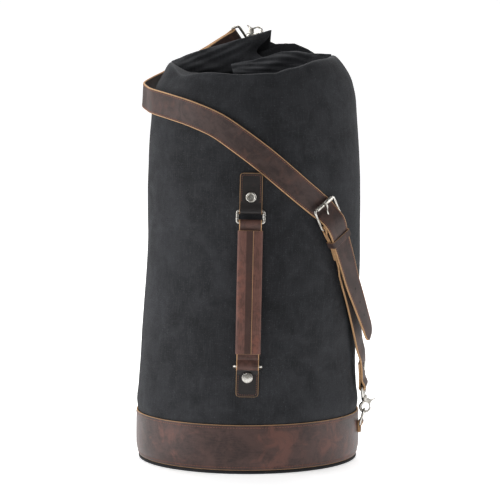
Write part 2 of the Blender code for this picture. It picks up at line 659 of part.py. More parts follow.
def keeper(path, facing):
    """A leather loop that slides on the strap just below the buckle."""
    walked = np.concatenate([[0], np.cumsum(np.linalg.norm(np.diff(path, axis=0), axis=1))])
    at = int(np.argmin(abs(walked - 0.030)))
    across, out = frames(path, facing)
    side, up = Vector(across[at]), Vector(out[at])
    along = side.cross(up).normalized()
    turn = Matrix((side, up, along)).transposed().to_4x4()
    axes = empty("keeper_axes", Matrix.Translation(Vector(path[at])) @ turn)
    thick, wide = 0.0014, 0.0095
    inner = (STRAP_WIDTH + 0.0016, 0.0)
    low = STRAP_LIFT - 0.0007
    high = STRAP_LIFT + 3 * STRAP + 3 * GAP + 0.0018
    height = high - low
    half = inner[0] / 2 + thick / 2
    loop = np.array(rounded_loop(2 * half, height + thick, 0.0020, steps=3))
    centre = np.stack([loop[:, 0], loop[:, 1] + (low + high) / 2, 0 * loop[:, 0]], axis=1)
    ahead = unit(np.roll(centre, -1, axis=0) - np.roll(centre, 1, axis=0))
    outer = np.stack([ahead[:, 1], -ahead[:, 0], 0 * ahead[:, 0]], axis=1) * thick / 2
    rise = np.array([0, 0, wide / 2])
    rings = np.stack([centre + outer + rise, centre + outer - rise,
                      centre - outer - rise, centre - outer + rise], axis=1)
    faces = band_faces(len(centre), 4, closed_rows=True, closed_columns=True)
    add("strap_keeper", rings.reshape(-1, 3), faces, "strap_leather", parent=axes)
    return axes


# ---------------------------------------------------------------- snaps and rings

def trigger_snap(prefix, loop_axes, eye_turn):
    """A trigger snap.  In its frame the loop's middle is the origin, +Z runs to the eye and the
    gate is on +X; the eye is turned about Z by `eye_turn`, as the swivel lets it."""
    swivel = empty(f"{prefix}_swivel_axes", Matrix.Rotation(eye_turn, 4, "Z"), loop_axes)
    post_low, post_high, post, head = 0.0125, EYE_BAR - EYE_PITCH, 0.0015, 0.0026

    # eye: a rectangular loop with a post and a head that turns inside the hook's cup
    flat = np.array(rounded_loop(EYE_SPAN, EYE_PITCH, 0.0034))
    path = [(0, a, EYE_BAR - EYE_PITCH / 2 + b) for a, b in flat]
    eye = tube(f"{prefix}_eye", path, SNAP_WIRE, "nickel", closed=True, parent=swivel)
    stem = turned(f"{prefix}_stem", ((0, post_low), (head, post_low), (head, post_low + 0.0020),
                                     (post, post_low + 0.0032), (post, post_high),
                                     (0, post_high)), None, parent=swivel, sides=16)
    boolean(eye, stem, "UNION")

    # hook: cup, shank, the curved hook and two ears for the gate
    cup = ((0, 0.0095), (0.0036, 0.0095), (0.0044, 0.0105), (0.0044, 0.0170), (0.0034, 0.0184),
           (post + 0.0006, 0.0184), (post + 0.0006, 0.0166), (head + 0.0005, 0.0158),
           (head + 0.0005, 0.0118), (0, 0.0118))
    hook = turned(f"{prefix}_hook", cup, "nickel", parent=loop_axes, sides=16)
    turns = np.radians(np.linspace(118, 345, 18))
    bend = [(LOOP_RADIUS * math.cos(t), 0, LOOP_RADIUS * math.sin(t)) for t in turns]
    bend = [(-0.0012, 0, 0.0098)] + bend
    horn = tube(f"{prefix}_horn", bend, SNAP_WIRE, None, parent=loop_axes)
    px, pz = GATE_PIVOT
    ear = ((-0.0030, 0.0115), (-0.0030, 0.0085), (px - 0.0012, pz - 0.0026), (px + 0.0020, pz - 0.0022),
           (px + 0.0028, pz), (px + 0.0022, pz + 0.0020), (px - 0.0006, pz + 0.0040))
    block = plate(f"{prefix}_ears", ear, -0.0031, 0.0031, None, parent=loop_axes)
    slot = plate(f"{prefix}_ear_slot", ((px - 0.0020, pz - 0.0060), (px + 0.0080, pz - 0.0060),
                                        (px + 0.0080, pz + 0.0060), (px - 0.0020, pz + 0.0060)),
                 -0.0016, 0.0016, None, parent=loop_axes)
    boolean(block, slot, "DIFFERENCE")
    bore = turned(f"{prefix}_pin_bore", ((0, -0.006), (0.0011, -0.006), (0.0011, 0.006), (0, 0.006)),
                  None, axis="Y", at=(px, 0, pz), parent=loop_axes, sides=12)
    boolean(block, bore, "DIFFERENCE")
    boolean(hook, horn, "UNION")
    boolean(hook, block, "UNION")

    # gate with its thumb lever, and the pin it turns on
    gate = ((px - 0.0014, pz + 0.0006), (px - 0.0014, pz - 0.0030), (0.0060, 0.0030),
            (0.0060, -0.0006), (0.0084, -0.0006), (0.0086, 0.0040), (px + 0.0022, pz - 0.0014),
            (px + 0.0034, pz - 0.0004), (px + 0.0092, pz + 0.0026), (px + 0.0098, pz + 0.0044),
            (px + 0.0030, pz + 0.0024), (px + 0.0010, pz + 0.0024))
    lever = plate(f"{prefix}_gate", gate, -0.0012, 0.0012, "nickel", parent=loop_axes,
                  origin=(px, 0, pz))
    boolean(lever, bore, "DIFFERENCE")
    turned(f"{prefix}_gate_pin", ((0, -0.0036), (0.0008, -0.0036), (0.0008, 0.0036), (0, 0.0036)),
           "nickel", axis="Y", at=(px, 0, pz), origin=(px, 0, pz), parent=loop_axes, sides=12)


def lower_snap(eye, across):
    """The snap that hangs from the short strap and holds the band's D-ring."""
    loop = outwards(RING_ANGLE) * HOOK_REACH + Vector((0, 0, eye.z - 0.0336))
    rise = eye - loop
    rise = (rise - across * rise.dot(across)).normalized()
    gate_side = ring_side().cross(rise).normalized()
    aside = rise.cross(gate_side).normalized()
    turn = Matrix((gate_side, aside, rise)).transposed().to_4x4()
    axes = empty("lower_snap_axes", Matrix.Translation(eye - rise * EYE_BAR) @ turn)
    trigger_snap("lower_snap", axes, bar_turn(turn, across))


def bar_turn(turn, across):
    """How far the swivel turns so that the eye's bar lies along `across`."""
    local = turn.to_3x3().transposed() @ across
    return math.atan2(-local.x, local.y)


def ring_side():
    """The level direction along the band's D-ring."""
    out = outwards(RING_ANGLE)
    return Vector((-out.y, out.x, 0))


def band_ring():
    """The D-ring in its leather tab on the band, leaning out into the hook."""
    wire, thick = 0.0016, 0.0020
    out, side = outwards(RING_ANGLE), ring_side()
    band = WALL[0][1] + GAP + BAND_LEATHER
    bar = out * (band + GAP + thick + GAP + wire + 0.0003) + Vector((0, 0, 0.0545))
    tilt = math.radians(15)
    rise = out * math.sin(tilt) + Vector((0, 0, math.cos(tilt)))
    half, height = 0.0130, 0.0205
    turns = np.radians(np.linspace(0, 180, 15))
    arc = [(half * math.cos(t), height * math.sin(t) ** 0.8) for t in turns]
    flat = [(half * f, 0.0) for f in (-0.5, 0, 0.5)]
    outline = arc[1:-1] + [(-half, 0.003), (-half * 0.85, 0)] + flat + [(half * 0.85, 0), (half, 0.003)]
    path = [bar + side * a + rise * b for a, b in outline]
    tube("band_d_ring", path, wire, "nickel", closed=True, origin=bar)
    wrap = wire + GAP + thick / 2
    profile = hairpin(wrap, -wrap, -wrap + thick + 0.0002, 0.008, 0.0150, 0.0150, 3, 3)
    centre = [bar + out * b - Vector((0, 0, a)) for a, b in profile]
    ribbon("band_tab", centre, [side] * len(centre), 0.0180, thick, "band_leather")


def mouth_ring(hem, eye, across):
    """The ring through the eyelet of the gathered hem, and the top snap that holds it."""
    ring_wire, ring_radius = 0.0015, 0.0095
    e = Vector((0.80, -0.45, 0.40)).normalized()
    e = (e - across * e.dot(across)).normalized()
    loop = eye + e * EYE_BAR
    normal = Vector((-e.y, e.x, 0)).normalized()
    gate_side = normal.cross(-e).normalized()
    if gate_side.z < 0:
        gate_side, normal = -gate_side, -normal
    turn = Matrix((gate_side, normal, -e)).transposed().to_4x4()
    if turn.determinant() < 0:
        turn = Matrix((gate_side, -normal, -e)).transposed().to_4x4()
    axes = empty("top_snap_axes", Matrix.Translation(loop) @ turn)
    trigger_snap("top_snap", axes, bar_turn(turn, across))

    level = Vector((normal.x, normal.y, 0)).normalized()
    centre = loop + Vector((0, 0, -0.0020 - ring_radius))
    turns = np.radians(np.arange(24) * 15)
    path = [centre + level * (ring_radius * math.cos(t)) + Vector((0, 0, ring_radius * math.sin(t)))
            for t in turns]
    low = centre - Vector((0, 0, ring_radius))
    tube("closure_ring", path, ring_wire, "nickel", closed=True, origin=low)

    place = (low.x, 0.042, low.z + 0.0004)
    hole, flange, half, lip = 0.0045, 0.0082, 0.0020 + GAP, 0.0009
    profile = ((hole, -half - lip), (flange, -half - lip * 0.6), (flange, -half), (hole + 0.0011, -half),
               (hole + 0.0011, half), (flange, half), (flange, half + lip * 0.6), (hole, half + lip))
    turned("mouth_eyelet", profile, "nickel", axis="Y", at=place, origin=place)
    cut = hole + 0.0011 + GAP
    punch = turned("eyelet_punch", ((0, -0.01), (cut, -0.01), (cut, 0.01), (0, 0.01)), None,
                   axis="Y", at=place, origin=place)
    boolean(hem, punch, "DIFFERENCE")


def strap_rivet(name, strap, path, facing, distance, cap, reach, face):
    """A cap rivet through two layers of the strap, its cap outwards (face 1) or inwards (-1)."""
    walked = np.concatenate([[0], np.cumsum(np.linalg.norm(np.diff(path, axis=0), axis=1))])
    at = int(np.argmin(abs(walked - distance)))
    across, out = frames(path, facing)
    side, up = Vector(across[at]), Vector(out[at]) * face
    along = side.cross(up).normalized()
    turn = Matrix((side, -up, -along)).transposed().to_4x4()
    axes = empty(f"{name}_axes", Matrix.Translation(Vector(path[at])) @ turn)
    rivet(name, 0.0070, cap, reach, parent=axes)
    hole = rivet_hole(f"{name}_hole", 0.0021, cap + 0.004, reach + 0.004, parent=axes)
    boolean(strap, hole, "DIFFERENCE")


# ---------------------------------------------------------------- assembly

def main():
    clear_scene()
    canvas = canvas_body()
    hem = mouth_lobes()
    base_pieces()
    grab_handle(canvas)
    short, path, facing, low_eye, low_across, heel = short_strap()
    long, top_path, top_facing, top_eye, top_across = long_strap(heel)
    strap_rivet("strap_rivet_lower", short, path, facing, path_length(path) - 0.0295,
                0.0086, -0.0021, 1)
    strap_rivet("strap_rivet_top", long, top_path, top_facing, 0.022, 0.0060, 0.0024, -1)
    buckle(heel, path, facing, short, long)
    keeper(path, facing)
    lower_snap(low_eye, low_across)
    band_ring()
    mouth_ring(hem, top_eye, top_across)


main()
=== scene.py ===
"""Finished look of a rope storage bag: waxed canvas, pull-up leather and nickel fittings.

The moving frame gives the places and axes of everything that turns or slides.  Each piece is
a surface worked out from two parameters, and each finish is a node material.  Metres, +Z up,
the grab handle faces -Y, and angles around the bag are counted from -Y towards +X.
"""

import json
import math

import bpy
import numpy as np
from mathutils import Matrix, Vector


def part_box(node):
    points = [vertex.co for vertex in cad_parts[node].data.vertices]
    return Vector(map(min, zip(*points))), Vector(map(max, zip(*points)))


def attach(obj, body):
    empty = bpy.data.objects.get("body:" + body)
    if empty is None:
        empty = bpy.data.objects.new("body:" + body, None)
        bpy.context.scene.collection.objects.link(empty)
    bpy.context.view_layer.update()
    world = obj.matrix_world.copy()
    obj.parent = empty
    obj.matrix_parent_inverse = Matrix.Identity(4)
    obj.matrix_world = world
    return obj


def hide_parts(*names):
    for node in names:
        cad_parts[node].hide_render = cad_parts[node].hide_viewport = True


bl_info = {
    "name": "Rope storage bag",
    "version": (1, 0, 0),
    "blender": (4, 5, 0),
    "location": "3D View > Sidebar > Rope bag",
    "description": "Dresses a jointed rope bag in waxed canvas, leather and nickel",
    "category": "Object",
}

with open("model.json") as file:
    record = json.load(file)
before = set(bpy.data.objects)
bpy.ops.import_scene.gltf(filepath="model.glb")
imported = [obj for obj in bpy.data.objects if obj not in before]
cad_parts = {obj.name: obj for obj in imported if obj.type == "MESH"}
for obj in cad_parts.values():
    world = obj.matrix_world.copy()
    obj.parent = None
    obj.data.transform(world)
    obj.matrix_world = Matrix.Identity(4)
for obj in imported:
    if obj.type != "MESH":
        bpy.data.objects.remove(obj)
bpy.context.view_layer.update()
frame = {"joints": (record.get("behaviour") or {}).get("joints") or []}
JOINTS = {joint["name"]: joint for joint in frame["joints"]}

GAP = 0.0003                     # what two touching pieces keep between them

# canvas wall: outer radius by height, and the leaning of the tube
LEAN, LEAN_HEIGHTS = 0.010, (0.11, 0.33)
WALL = ((0.0051, 0.1627), (0.0730, 0.1627), (0.0820, 0.1645), (0.110, 0.1622), (0.150, 0.1600),
        (0.200, 0.1600), (0.330, 0.1575), (0.420, 0.1570), (0.500, 0.1525))
# the wall's foot is drawn in under the band
FOOT = ((0.0051, 0.1578), (0.0110, 0.1600), (0.0190, 0.1616), (0.0300, 0.1627))
# rings of the folded top as (radius, height) at the front, right, back and left
TOP_RINGS = (
    ((0.1495, 0.540), (0.1480, 0.545), (0.1440, 0.532), (0.1480, 0.545)),
    ((0.1430, 0.561), (0.1400, 0.570), (0.1270, 0.551), (0.1370, 0.567)),
    ((0.1350, 0.5765), (0.1165, 0.5970), (0.0940, 0.5715), (0.1210, 0.5880)),
    ((0.1290, 0.5740), (0.1120, 0.5955), (0.0820, 0.5800), (0.1160, 0.5850)),
    ((0.0850, 0.5600), (0.0980, 0.5850), (0.0700, 0.5890), (0.1000, 0.5760)),
    ((0.0240, 0.5540), (0.0800, 0.5790), (0.0530, 0.6020), (0.0880, 0.5740)),
)

# shoulder strap
STRAP_WIDTH, STRAP = 0.0370, 0.0028
STRAP_LIFT = 0.0024
BAR = 0.0018
WRAP = BAR + 0.0005 + STRAP / 2
ROLLER = 0.0034
FRONT_ROUTE = ((-88, 0.5335, 0.0045), (-68.5, 0.532, 0.0040), (-50.8, 0.527, 0.0035),
               (-34.7, 0.518, 0.0030), (-19.1, 0.502, 0.0025), (-8.3, 0.483, 0.0022),
               (4.0, 0.458, 0.0020), (19.1, 0.423, 0.0020), (26.5, 0.406, 0.0020),
               (31.0, 0.3965, 0.0020))
SHOULDER_ROUTE = (((-0.0130, 0.0580, 0.6180), (-0.20, 0.93, 0.30)),
                  ((-0.0256, 0.0600, 0.6105), (-0.20, 0.93, 0.30)),
                  ((-0.0560, 0.0790, 0.5930), (-0.26, 0.86, 0.44)),
                  ((-0.0900, 0.0970, 0.5740), (-0.45, 0.76, 0.46)),
                  ((-0.1220, 0.0910, 0.5560), (-0.68, 0.62, 0.38)),
                  ((-0.1440, 0.0600, 0.5450), (-0.88, 0.42, 0.22)),
                  ((-0.1540, 0.0300, 0.5385), (-0.97, 0.20, 0.10)))
BUCKLE_ANGLE, BUCKLE_HEIGHT = 42.8, 0.3608
ROLLER_ANGLE, ROLLER_HEIGHT = 37.2, 0.3888
LOWER_ROUTE = ((42.8, 0.3608, 0), (44.4, 0.3530, 0), (47.4, 0.3400, 0), (52.8, 0.3060, 0),
               (58.4, 0.2720, 0), (63.8, 0.2430, 0.0003), (68.9, 0.2160, 0.0010),
               (73.2, 0.1900, 0.0030), (76.9, 0.1650, 0.0055), (80.0, 0.1400, 0.0060),
               (81.5, 0.1230, 0.0050), (82.0, 0.1105, 0.0038))
TONGUE_ROUTE = ((47.6, 0.3400, 0), (52.7, 0.3060, 0), (58.2, 0.2720, 0.001),
                (64.5, 0.2420, 0.0035), (71.0, 0.2130, 0.0070), (76.5, 0.1850, 0.0130))

# grab handle
LEATHER = 0.0022
RING_WIRE, RING_PITCH, RING_SPAN = 0.0020, 0.0170, 0.0385
FOLD_SLACK, GRIP_SLACK = 0.0005, 0.0016
CHAPE_WIDTH = 0.0325
CHAPE = {"top": (0.0543, 0.0, 0.0125, 0.0198, 0.0009, 0.0092),
         "bottom": (0.0424, 0.052, 0.0100, 0.0140, 0.0025, 0.0082)}
RING_RISE = math.radians(15)
GRIP_WIDTH = 0.0322
SLEEVE = (0.0113, 0.1880)
SLEEVE_HALF = 0.0180                 # half its width
SLEEVE_DEPTH = 0.0096
SLEEVE_SEAM = 0.0046                 # where the flap's edge lies, right of the middle
SLEEVE_FLAP = 0.0011                 # how far the flap stands up
SLEEVE_SHADE_STRIP = (-0.0052, 0.0044)     # the strip of its face painted darker: painted shade for the glossy face's dark reflection, partly the pull-up leather's own darker tone


# ---------------------------------------------------------------- sizes and colours to change

class RopeBagSizes(bpy.types.PropertyGroup):
    """Sizes of the cloth, the thread and the leather."""
    canvas: bpy.props.FloatProperty(
        name="Canvas", description="Thickness of the doubled canvas", default=0.0024, unit="LENGTH")
    creases: bpy.props.FloatProperty(
        name="Creases", description="Depth of the canvas's creases", default=0.0013, unit="LENGTH")
    band: bpy.props.FloatProperty(
        name="Band leather", description="Thickness of the base band", default=0.0024, unit="LENGTH")
    stitch: bpy.props.FloatProperty(
        name="Stitch", description="Length of one stitch", default=0.0034, unit="LENGTH")
    thread: bpy.props.FloatProperty(
        name="Thread", description="Radius of the sewing thread", default=0.00042, unit="LENGTH")


class RopeBagColours(bpy.types.PropertyGroup):
    """Main colours of the finishes."""
    canvas: bpy.props.FloatVectorProperty(
        name="Canvas", description="Waxed canvas", subtype="COLOR", default=(0.026, 0.027, 0.030))
    band: bpy.props.FloatVectorProperty(
        name="Band", description="Leather of the base band", subtype="COLOR",
        default=(0.060, 0.030, 0.025))
    strap: bpy.props.FloatVectorProperty(
        name="Strap", description="Leather of the shoulder strap", subtype="COLOR",
        default=(0.060, 0.037, 0.033))
    handle: bpy.props.FloatVectorProperty(
        name="Handle", description="Leather of the grab handle", subtype="COLOR",
        default=(0.095, 0.044, 0.034))
    chape: bpy.props.FloatVectorProperty(
        name="Tabs", description="Leather of the handle's two tabs", subtype="COLOR",
        default=(0.017, 0.014, 0.014))
    edge: bpy.props.FloatVectorProperty(
        name="Raw edge", description="Cut edge of the leather", subtype="COLOR",
        default=(0.560, 0.330, 0.165))
    nickel: bpy.props.FloatVectorProperty(
        name="Nickel", description="Plated fittings", subtype="COLOR", default=(0.620, 0.600, 0.560))


def sizes():
    """The sizes group of the scene."""
    return bpy.context.scene.rope_bag_sizes


def colours():
    """The colours group of the scene."""
    return bpy.context.scene.rope_bag_colours


# ---------------------------------------------------------------- curves

def unit(vectors):
    """Vectors scaled to length 1."""
    vectors = np.asarray(vectors, float)
    return vectors / np.linalg.norm(vectors, axis=-1, keepdims=True)


def ease(value, low, high):
    """0 below `low`, 1 above `high`, and a smooth step between them."""
    t = np.clip((np.asarray(value, float) - low) / (high - low), 0, 1)
    return t * t * (3 - 2 * t)


def bell(value, middle, spread):
    """1 at the middle, falling as exp(-((v - middle) / spread)^2)."""
    return np.exp(-((value - middle) / spread) ** 2)


def through(knots, values, at):
    """Hermite curve through values given at knots; the values may be whole arrays."""
    knots, values = np.asarray(knots, float), np.asarray(values, float)
    slopes = np.gradient(values, knots, axis=0)
    left = np.clip(np.searchsorted(knots, at, side="right") - 1, 0, len(knots) - 2)
    span = (knots[left + 1] - knots[left]).reshape((-1,) + (1,) * (values.ndim - 1))
    t = (at - knots[left]).reshape(span.shape) / span
    return ((2 * t**3 - 3 * t**2 + 1) * values[left] + (t**3 - 2 * t**2 + t) * span * slopes[left]
            + (3 * t**2 - 2 * t**3) * values[left + 1] + (t**3 - t**2) * span * slopes[left + 1])


def walked(path):
    """Distance along a path at each of its points."""
    return np.concatenate([[0], np.cumsum(np.linalg.norm(np.diff(path[:, :3], axis=0), axis=1))])


def smooth_route(points, count):
    """`count` even steps along a smooth curve through points; columns after the third ride along."""
    points = np.asarray(points, float)
    knots = walked(points)
    curve = through(knots, points, np.linspace(0, knots[-1], 40 * len(points)))
    done = walked(curve)
    even = np.linspace(0, done[-1], count)
    return np.stack([np.interp(even, done, column) for column in curve.T], axis=1)


def strip_frames(path, facing):
    """Across and outward directions of a strip that lies on a path."""
    across = unit(np.cross(unit(np.gradient(path, axis=0)), facing))
    along = unit(np.gradient(path, axis=0))
    return across, unit(np.cross(across, along))


def lay(path, facing, side):
    """A side view of (distance, out) points laid on a path: places and across directions."""
    across, out = strip_frames(path, facing)
    done = walked(path)
    along = unit(np.gradient(path, axis=0))
    reach = np.clip(side[:, 0], 0, done[-1])
    places, outs, acrosses, alongs = (
        np.stack([np.interp(reach, done, field[:, i]) for i in range(3)], axis=1)
        for field in (path, out, across, along))
    return places + outs * side[:, 1:2] + alongs * (side[:, 0] - reach)[:, None], acrosses


def hairpin(wrap, back, front, taper, back_length, front_length, back_steps, front_steps):
    """Side view of a strip folded round a bar at (0, 0): back layer, half turn, front layer."""
    rise = np.linspace(0.95, 0.05, 12)
    blend = rise * rise * (3 - 2 * rise)
    turns = np.radians(np.linspace(-90, -270, 19))
    return np.concatenate([
        np.stack([np.linspace(back_length, taper, back_steps), np.full(back_steps, back)], axis=1),
        np.stack([taper * rise, -wrap + (back + wrap) * blend], axis=1),
        np.stack([wrap * np.cos(turns), wrap * np.sin(turns)], axis=1),
        np.stack([taper * rise[::-1], wrap + (front - wrap) * blend[::-1]], axis=1),
        np.stack([np.linspace(taper, front_length, front_steps), np.full(front_steps, front)], axis=1)])


def rounded_end(distance, corner):
    """How much a strip narrows on each side near an end with round corners."""
    inside = np.clip(corner - np.asarray(distance, float), 0, corner)
    return corner - np.sqrt(np.maximum(corner**2 - inside**2, 0))


def rounded_loop(width, height, corner, steps=9):
    """Middle line of a rectangular ring: four quarter circles joined by straight bars."""
    turns = np.linspace(0, math.pi / 2, steps)
    corners = [np.stack([sx * (width / 2 - corner) + corner * np.cos(turns + q * math.pi / 2),
                         sy * (height / 2 - corner) + corner * np.sin(turns + q * math.pi / 2)], axis=1)
               for q, (sx, sy) in enumerate(((1, 1), (-1, 1), (-1, -1), (1, -1)))]
    return np.concatenate(corners)


def lean(height):
    """How far the bag's middle line leans towards +X at a height."""
    return LEAN * ease(height, *LEAN_HEIGHTS)


def wall_radius(height):
    """Radius of the canvas at a height."""
    heights, radii = zip(*WALL)
    return np.interp(height, heights, radii)


def outwards(angle):
    """The way out of the bag at an angle in degrees, 0 being the front."""
    turn = math.radians(angle)
    return np.array([math.sin(turn), -math.cos(turn), 0.0])


def on_wall(angle, height, off):
    """A point at an angle in degrees around the bag, standing `off` outside the canvas."""
    return (outwards(angle) * (wall_radius(height) + off)
            + np.array([float(lean(height)), 0, height]))


def crumple(a, b, seed):
    """Creases from 0 to 1: ridges 1 - |sin| at several slants and pitches, bent by slower waves."""
    draw = np.random.default_rng(seed)
    total, weight = 0, 0
    for pitch in (0.17, 0.12, 0.085, 0.060, 0.042, 0.030, 0.021):
        slant, phase, other = draw.uniform(0, math.pi, 3)
        along = a * math.cos(slant) + b * math.sin(slant)
        aside = b * math.cos(slant) - a * math.sin(slant)
        bend = 0.30 * pitch * np.sin(aside * 2.1 / pitch + other)
        fade = 0.35 + 0.65 * np.sin(aside * 1.1 / pitch + phase) ** 2
        total = total + pitch * fade * (1 - abs(np.sin(math.pi * (along + bend) / pitch + phase))) ** 3
        weight += pitch
    return total / weight


# ---------------------------------------------------------------- shapes
# A shape is (points, quads, triangles, fields); a field is the vector a material reads.

def quads_of(rows, columns, wrap_rows, wrap_columns):
    """Quads of a grid of points, closed along the directions that wrap."""
    i, j = np.meshgrid(np.arange(rows if wrap_rows else rows - 1),
                       np.arange(columns if wrap_columns else columns - 1), indexing="ij")
    below, right = (i + 1) % rows, (j + 1) % columns
    return np.stack([i * columns + j, i * columns + right, below * columns + right,
                     below * columns + j], axis=-1).reshape(-1, 4)


def outward(points, quads, triangles):
    """The faces turned so that the shape holds a positive volume."""
    a, b, c = (points[quads[:, k]] for k in range(3))
    d = points[quads[:, 3]] if len(quads) else a
    volume = (np.einsum("ij,ij->", a, np.cross(b, c)) + np.einsum("ij,ij->", a, np.cross(c, d)))
    if len(triangles):
        p, q, r = (points[triangles[:, k]] for k in range(3))
        volume += np.einsum("ij,ij->", p, np.cross(q, r))
    if volume < 0:
        return quads[:, ::-1], triangles[:, ::-1]
    return quads, triangles


def skin(grid, fields=None, around=True, along=False, ends="fan"):
    """A closed skin over a grid of points: rows run `around` the section, and each end is a fan
    to its middle or a ladder across a wall that is folded back on itself."""
    rows, columns = grid.shape[:2]
    points = grid.reshape(-1, 3)
    fields = np.zeros((rows, columns, 3)) if fields is None else fields
    fields = np.broadcast_to(fields, (rows, columns, 3)).reshape(-1, 3)
    quads = quads_of(rows, columns, along, around)
    triangles = np.zeros((0, 3), int)
    if not along and ends == "fan":
        j = np.arange(columns)
        nxt, last, count = (j + 1) % columns, (rows - 1) * columns, len(points)
        points = np.vstack([points, grid[0].mean(0), grid[-1].mean(0)])
        fields = np.vstack([fields, fields[:columns].mean(0), fields[last:last + columns].mean(0)])
        triangles = np.concatenate([np.stack([np.full(columns, count), nxt, j], axis=1),
                                    np.stack([np.full(columns, count + 1), last + j, last + nxt],
                                             axis=1)])
    elif not along and ends == "ladder":
        i = np.arange(columns // 2 - 1)
        rungs = np.stack([i + 1, i, columns - 1 - i, columns - 2 - i], axis=1)
        quads = np.vstack([quads, rungs, rungs[:, ::-1] + (rows - 1) * columns])
    quads, triangles = outward(points, quads, triangles)
    return points, quads, triangles, fields


def joined(shapes):
    """Several shapes as one."""
    points, quads, triangles, fields, count = [], [], [], [], 0
    for shape in shapes:
        points.append(shape[0])
        quads.append(shape[1] + count)
        triangles.append(shape[2] + count)
        fields.append(shape[3])
        count += len(shape[0])
    return np.vstack(points), np.vstack(quads), np.vstack(triangles), np.vstack(fields)


def placed(shape, axes):
    """The shape moved from a local frame, a 3 by 4 matrix of X, Y, Z and origin columns."""
    points = shape[0] @ axes[:, :3].T + axes[:, 3]
    return (points, *outward(points, shape[1], shape[2]), shape[3])


def strip(centre, across, width, thick, corner=0.0010, raw=0.0003):
    """Leather carried along a path: a rectangle whose raw edges are round, the cut fibres showing
    `raw` past the rounding.  Its field holds the distance along, across, and 1 on the edge."""
    centre, across = np.asarray(centre, float), unit(across)
    along = unit(np.gradient(centre, axis=0))
    facing = unit(np.cross(across, along))
    turns = np.radians([0, 22, 45, 68, 90])
    face = np.linspace(1, -1, 11)[1:-1]
    share, inset, sy, cx, cy, edge = [], [], [], [], [], []
    for q, (x, y) in enumerate(((1, 1), (-1, 1), (-1, -1), (1, -1))):
        share += [x] * 5
        inset += [0.0] * 5
        sy += [y] * 5
        cx += list(np.cos(turns + q * math.pi / 2))
        cy += list(np.sin(turns + q * math.pi / 2))
        edge += [1.0] * 5
        if q in (0, 2):
            run = face * x
            share += [x, x] + list(run) + [-x, -x]
            inset += [-x * raw, -x * (raw + 0.0002)] + [0.0] * len(run) + [x * (raw + 0.0002), x * raw]
            sy += [y] * (len(run) + 4)
            cx += [0.0] * (len(run) + 4)
            cy += [float(y)] * (len(run) + 4)
            edge += [1.0, 0.0] + [0.0] * len(run) + [0.0, 1.0]
    share, inset, sy, cx, cy, edge = (np.array(v, float) for v in (share, inset, sy, cx, cy, edge))
    half = np.broadcast_to(np.asarray(width, float) / 2, (len(centre),))[:, None]
    inner = np.maximum(half - corner, 0.0002)
    a = share * inner + inset + corner * cx
    t = sy * (thick / 2 - corner) + corner * cy
    grid = centre[:, None] + a[..., None] * across[:, None] + t[:, None] * facing[:, None]
    done = walked(centre)
    ends = np.minimum(done, done[-1] - done) < 0.0002
    edge = np.maximum(edge[None, :], ends[:, None] * 1.0)
    fields = np.stack([done[:, None] + 0 * a, a, edge + 0 * a], axis=-1)
    return skin(grid, fields)


def wire(path, radius, closed=False, sides=20):
    """A round wire along a flat path; an open one ends in domes."""
    path = np.asarray(path, float)
    radius = np.broadcast_to(np.asarray(radius, float), (len(path),)).copy()
    flat = np.linalg.svd(path - path.mean(axis=0))[2][2]
    if closed:
        along = unit(np.roll(path, -1, axis=0) - np.roll(path, 1, axis=0))
    else:
        turns = np.radians([90, 65, 40, 15])
        start, stop = unit(path[1] - path[0]), unit(path[-1] - path[-2])
        head = path[0] - start * (radius[0] * np.sin(turns))[:, None]
        tail = path[-1] + stop * (radius[-1] * np.sin(turns[::-1]))[:, None]
        path = np.vstack([head, path, tail])
        radius = np.concatenate([radius[0] * np.maximum(np.cos(turns), 0.08), radius,
                                 radius[-1] * np.maximum(np.cos(turns[::-1]), 0.08)])
        along = unit(np.gradient(path, axis=0))
    aside = unit(np.cross(along, flat))
    turns = np.arange(sides) * 2 * math.pi / sides
    grid = path[:, None] + radius[:, None, None] * (
        np.cos(turns)[None, :, None] * aside[:, None] + np.sin(turns)[None, :, None] * flat)
    return skin(grid, along=closed)


def spun(profile, sides=56, axis="Z"):
    """A closed outline of (radius, height) points turned about a local axis."""
    profile = np.asarray(profile, float)
    profile = np.stack([np.maximum(profile[:, 0], 0.00002), profile[:, 1]], axis=1)
    turns = np.arange(sides) * 2 * math.pi / sides
    radius, height = profile[None, :, :1], profile[None, :, 1:]
    c, s = np.cos(turns)[:, None, None], np.sin(turns)[:, None, None]
    order = {"Z": (radius * c, radius * s, height + 0 * c),
             "Y": (radius * s, height + 0 * c, radius * c),
             "X": (height + 0 * c, radius * c, radius * s)}[axis]
    return skin(np.concatenate(order, axis=2), along=True)


def softened(profile, radius, steps=4):
    """An outline with each corner turned into a small arc."""
    profile = np.asarray(profile, float)
    before, after = np.roll(profile, 1, axis=0), np.roll(profile, -1, axis=0)
    to_before, to_after = before - profile, after - profile
    reach_b = np.minimum(radius, 0.45 * np.linalg.norm(to_before, axis=1))[:, None]
    reach_a = np.minimum(radius, 0.45 * np.linalg.norm(to_after, axis=1))[:, None]
    start, stop = profile + unit(to_before) * reach_b, profile + unit(to_after) * reach_a
    t = np.linspace(0, 1, steps)[None, :, None]
    arcs = (1 - t)**2 * start[:, None] + 2 * t * (1 - t) * profile[:, None] + t * t * stop[:, None]
    return arcs.reshape(-1, 2)


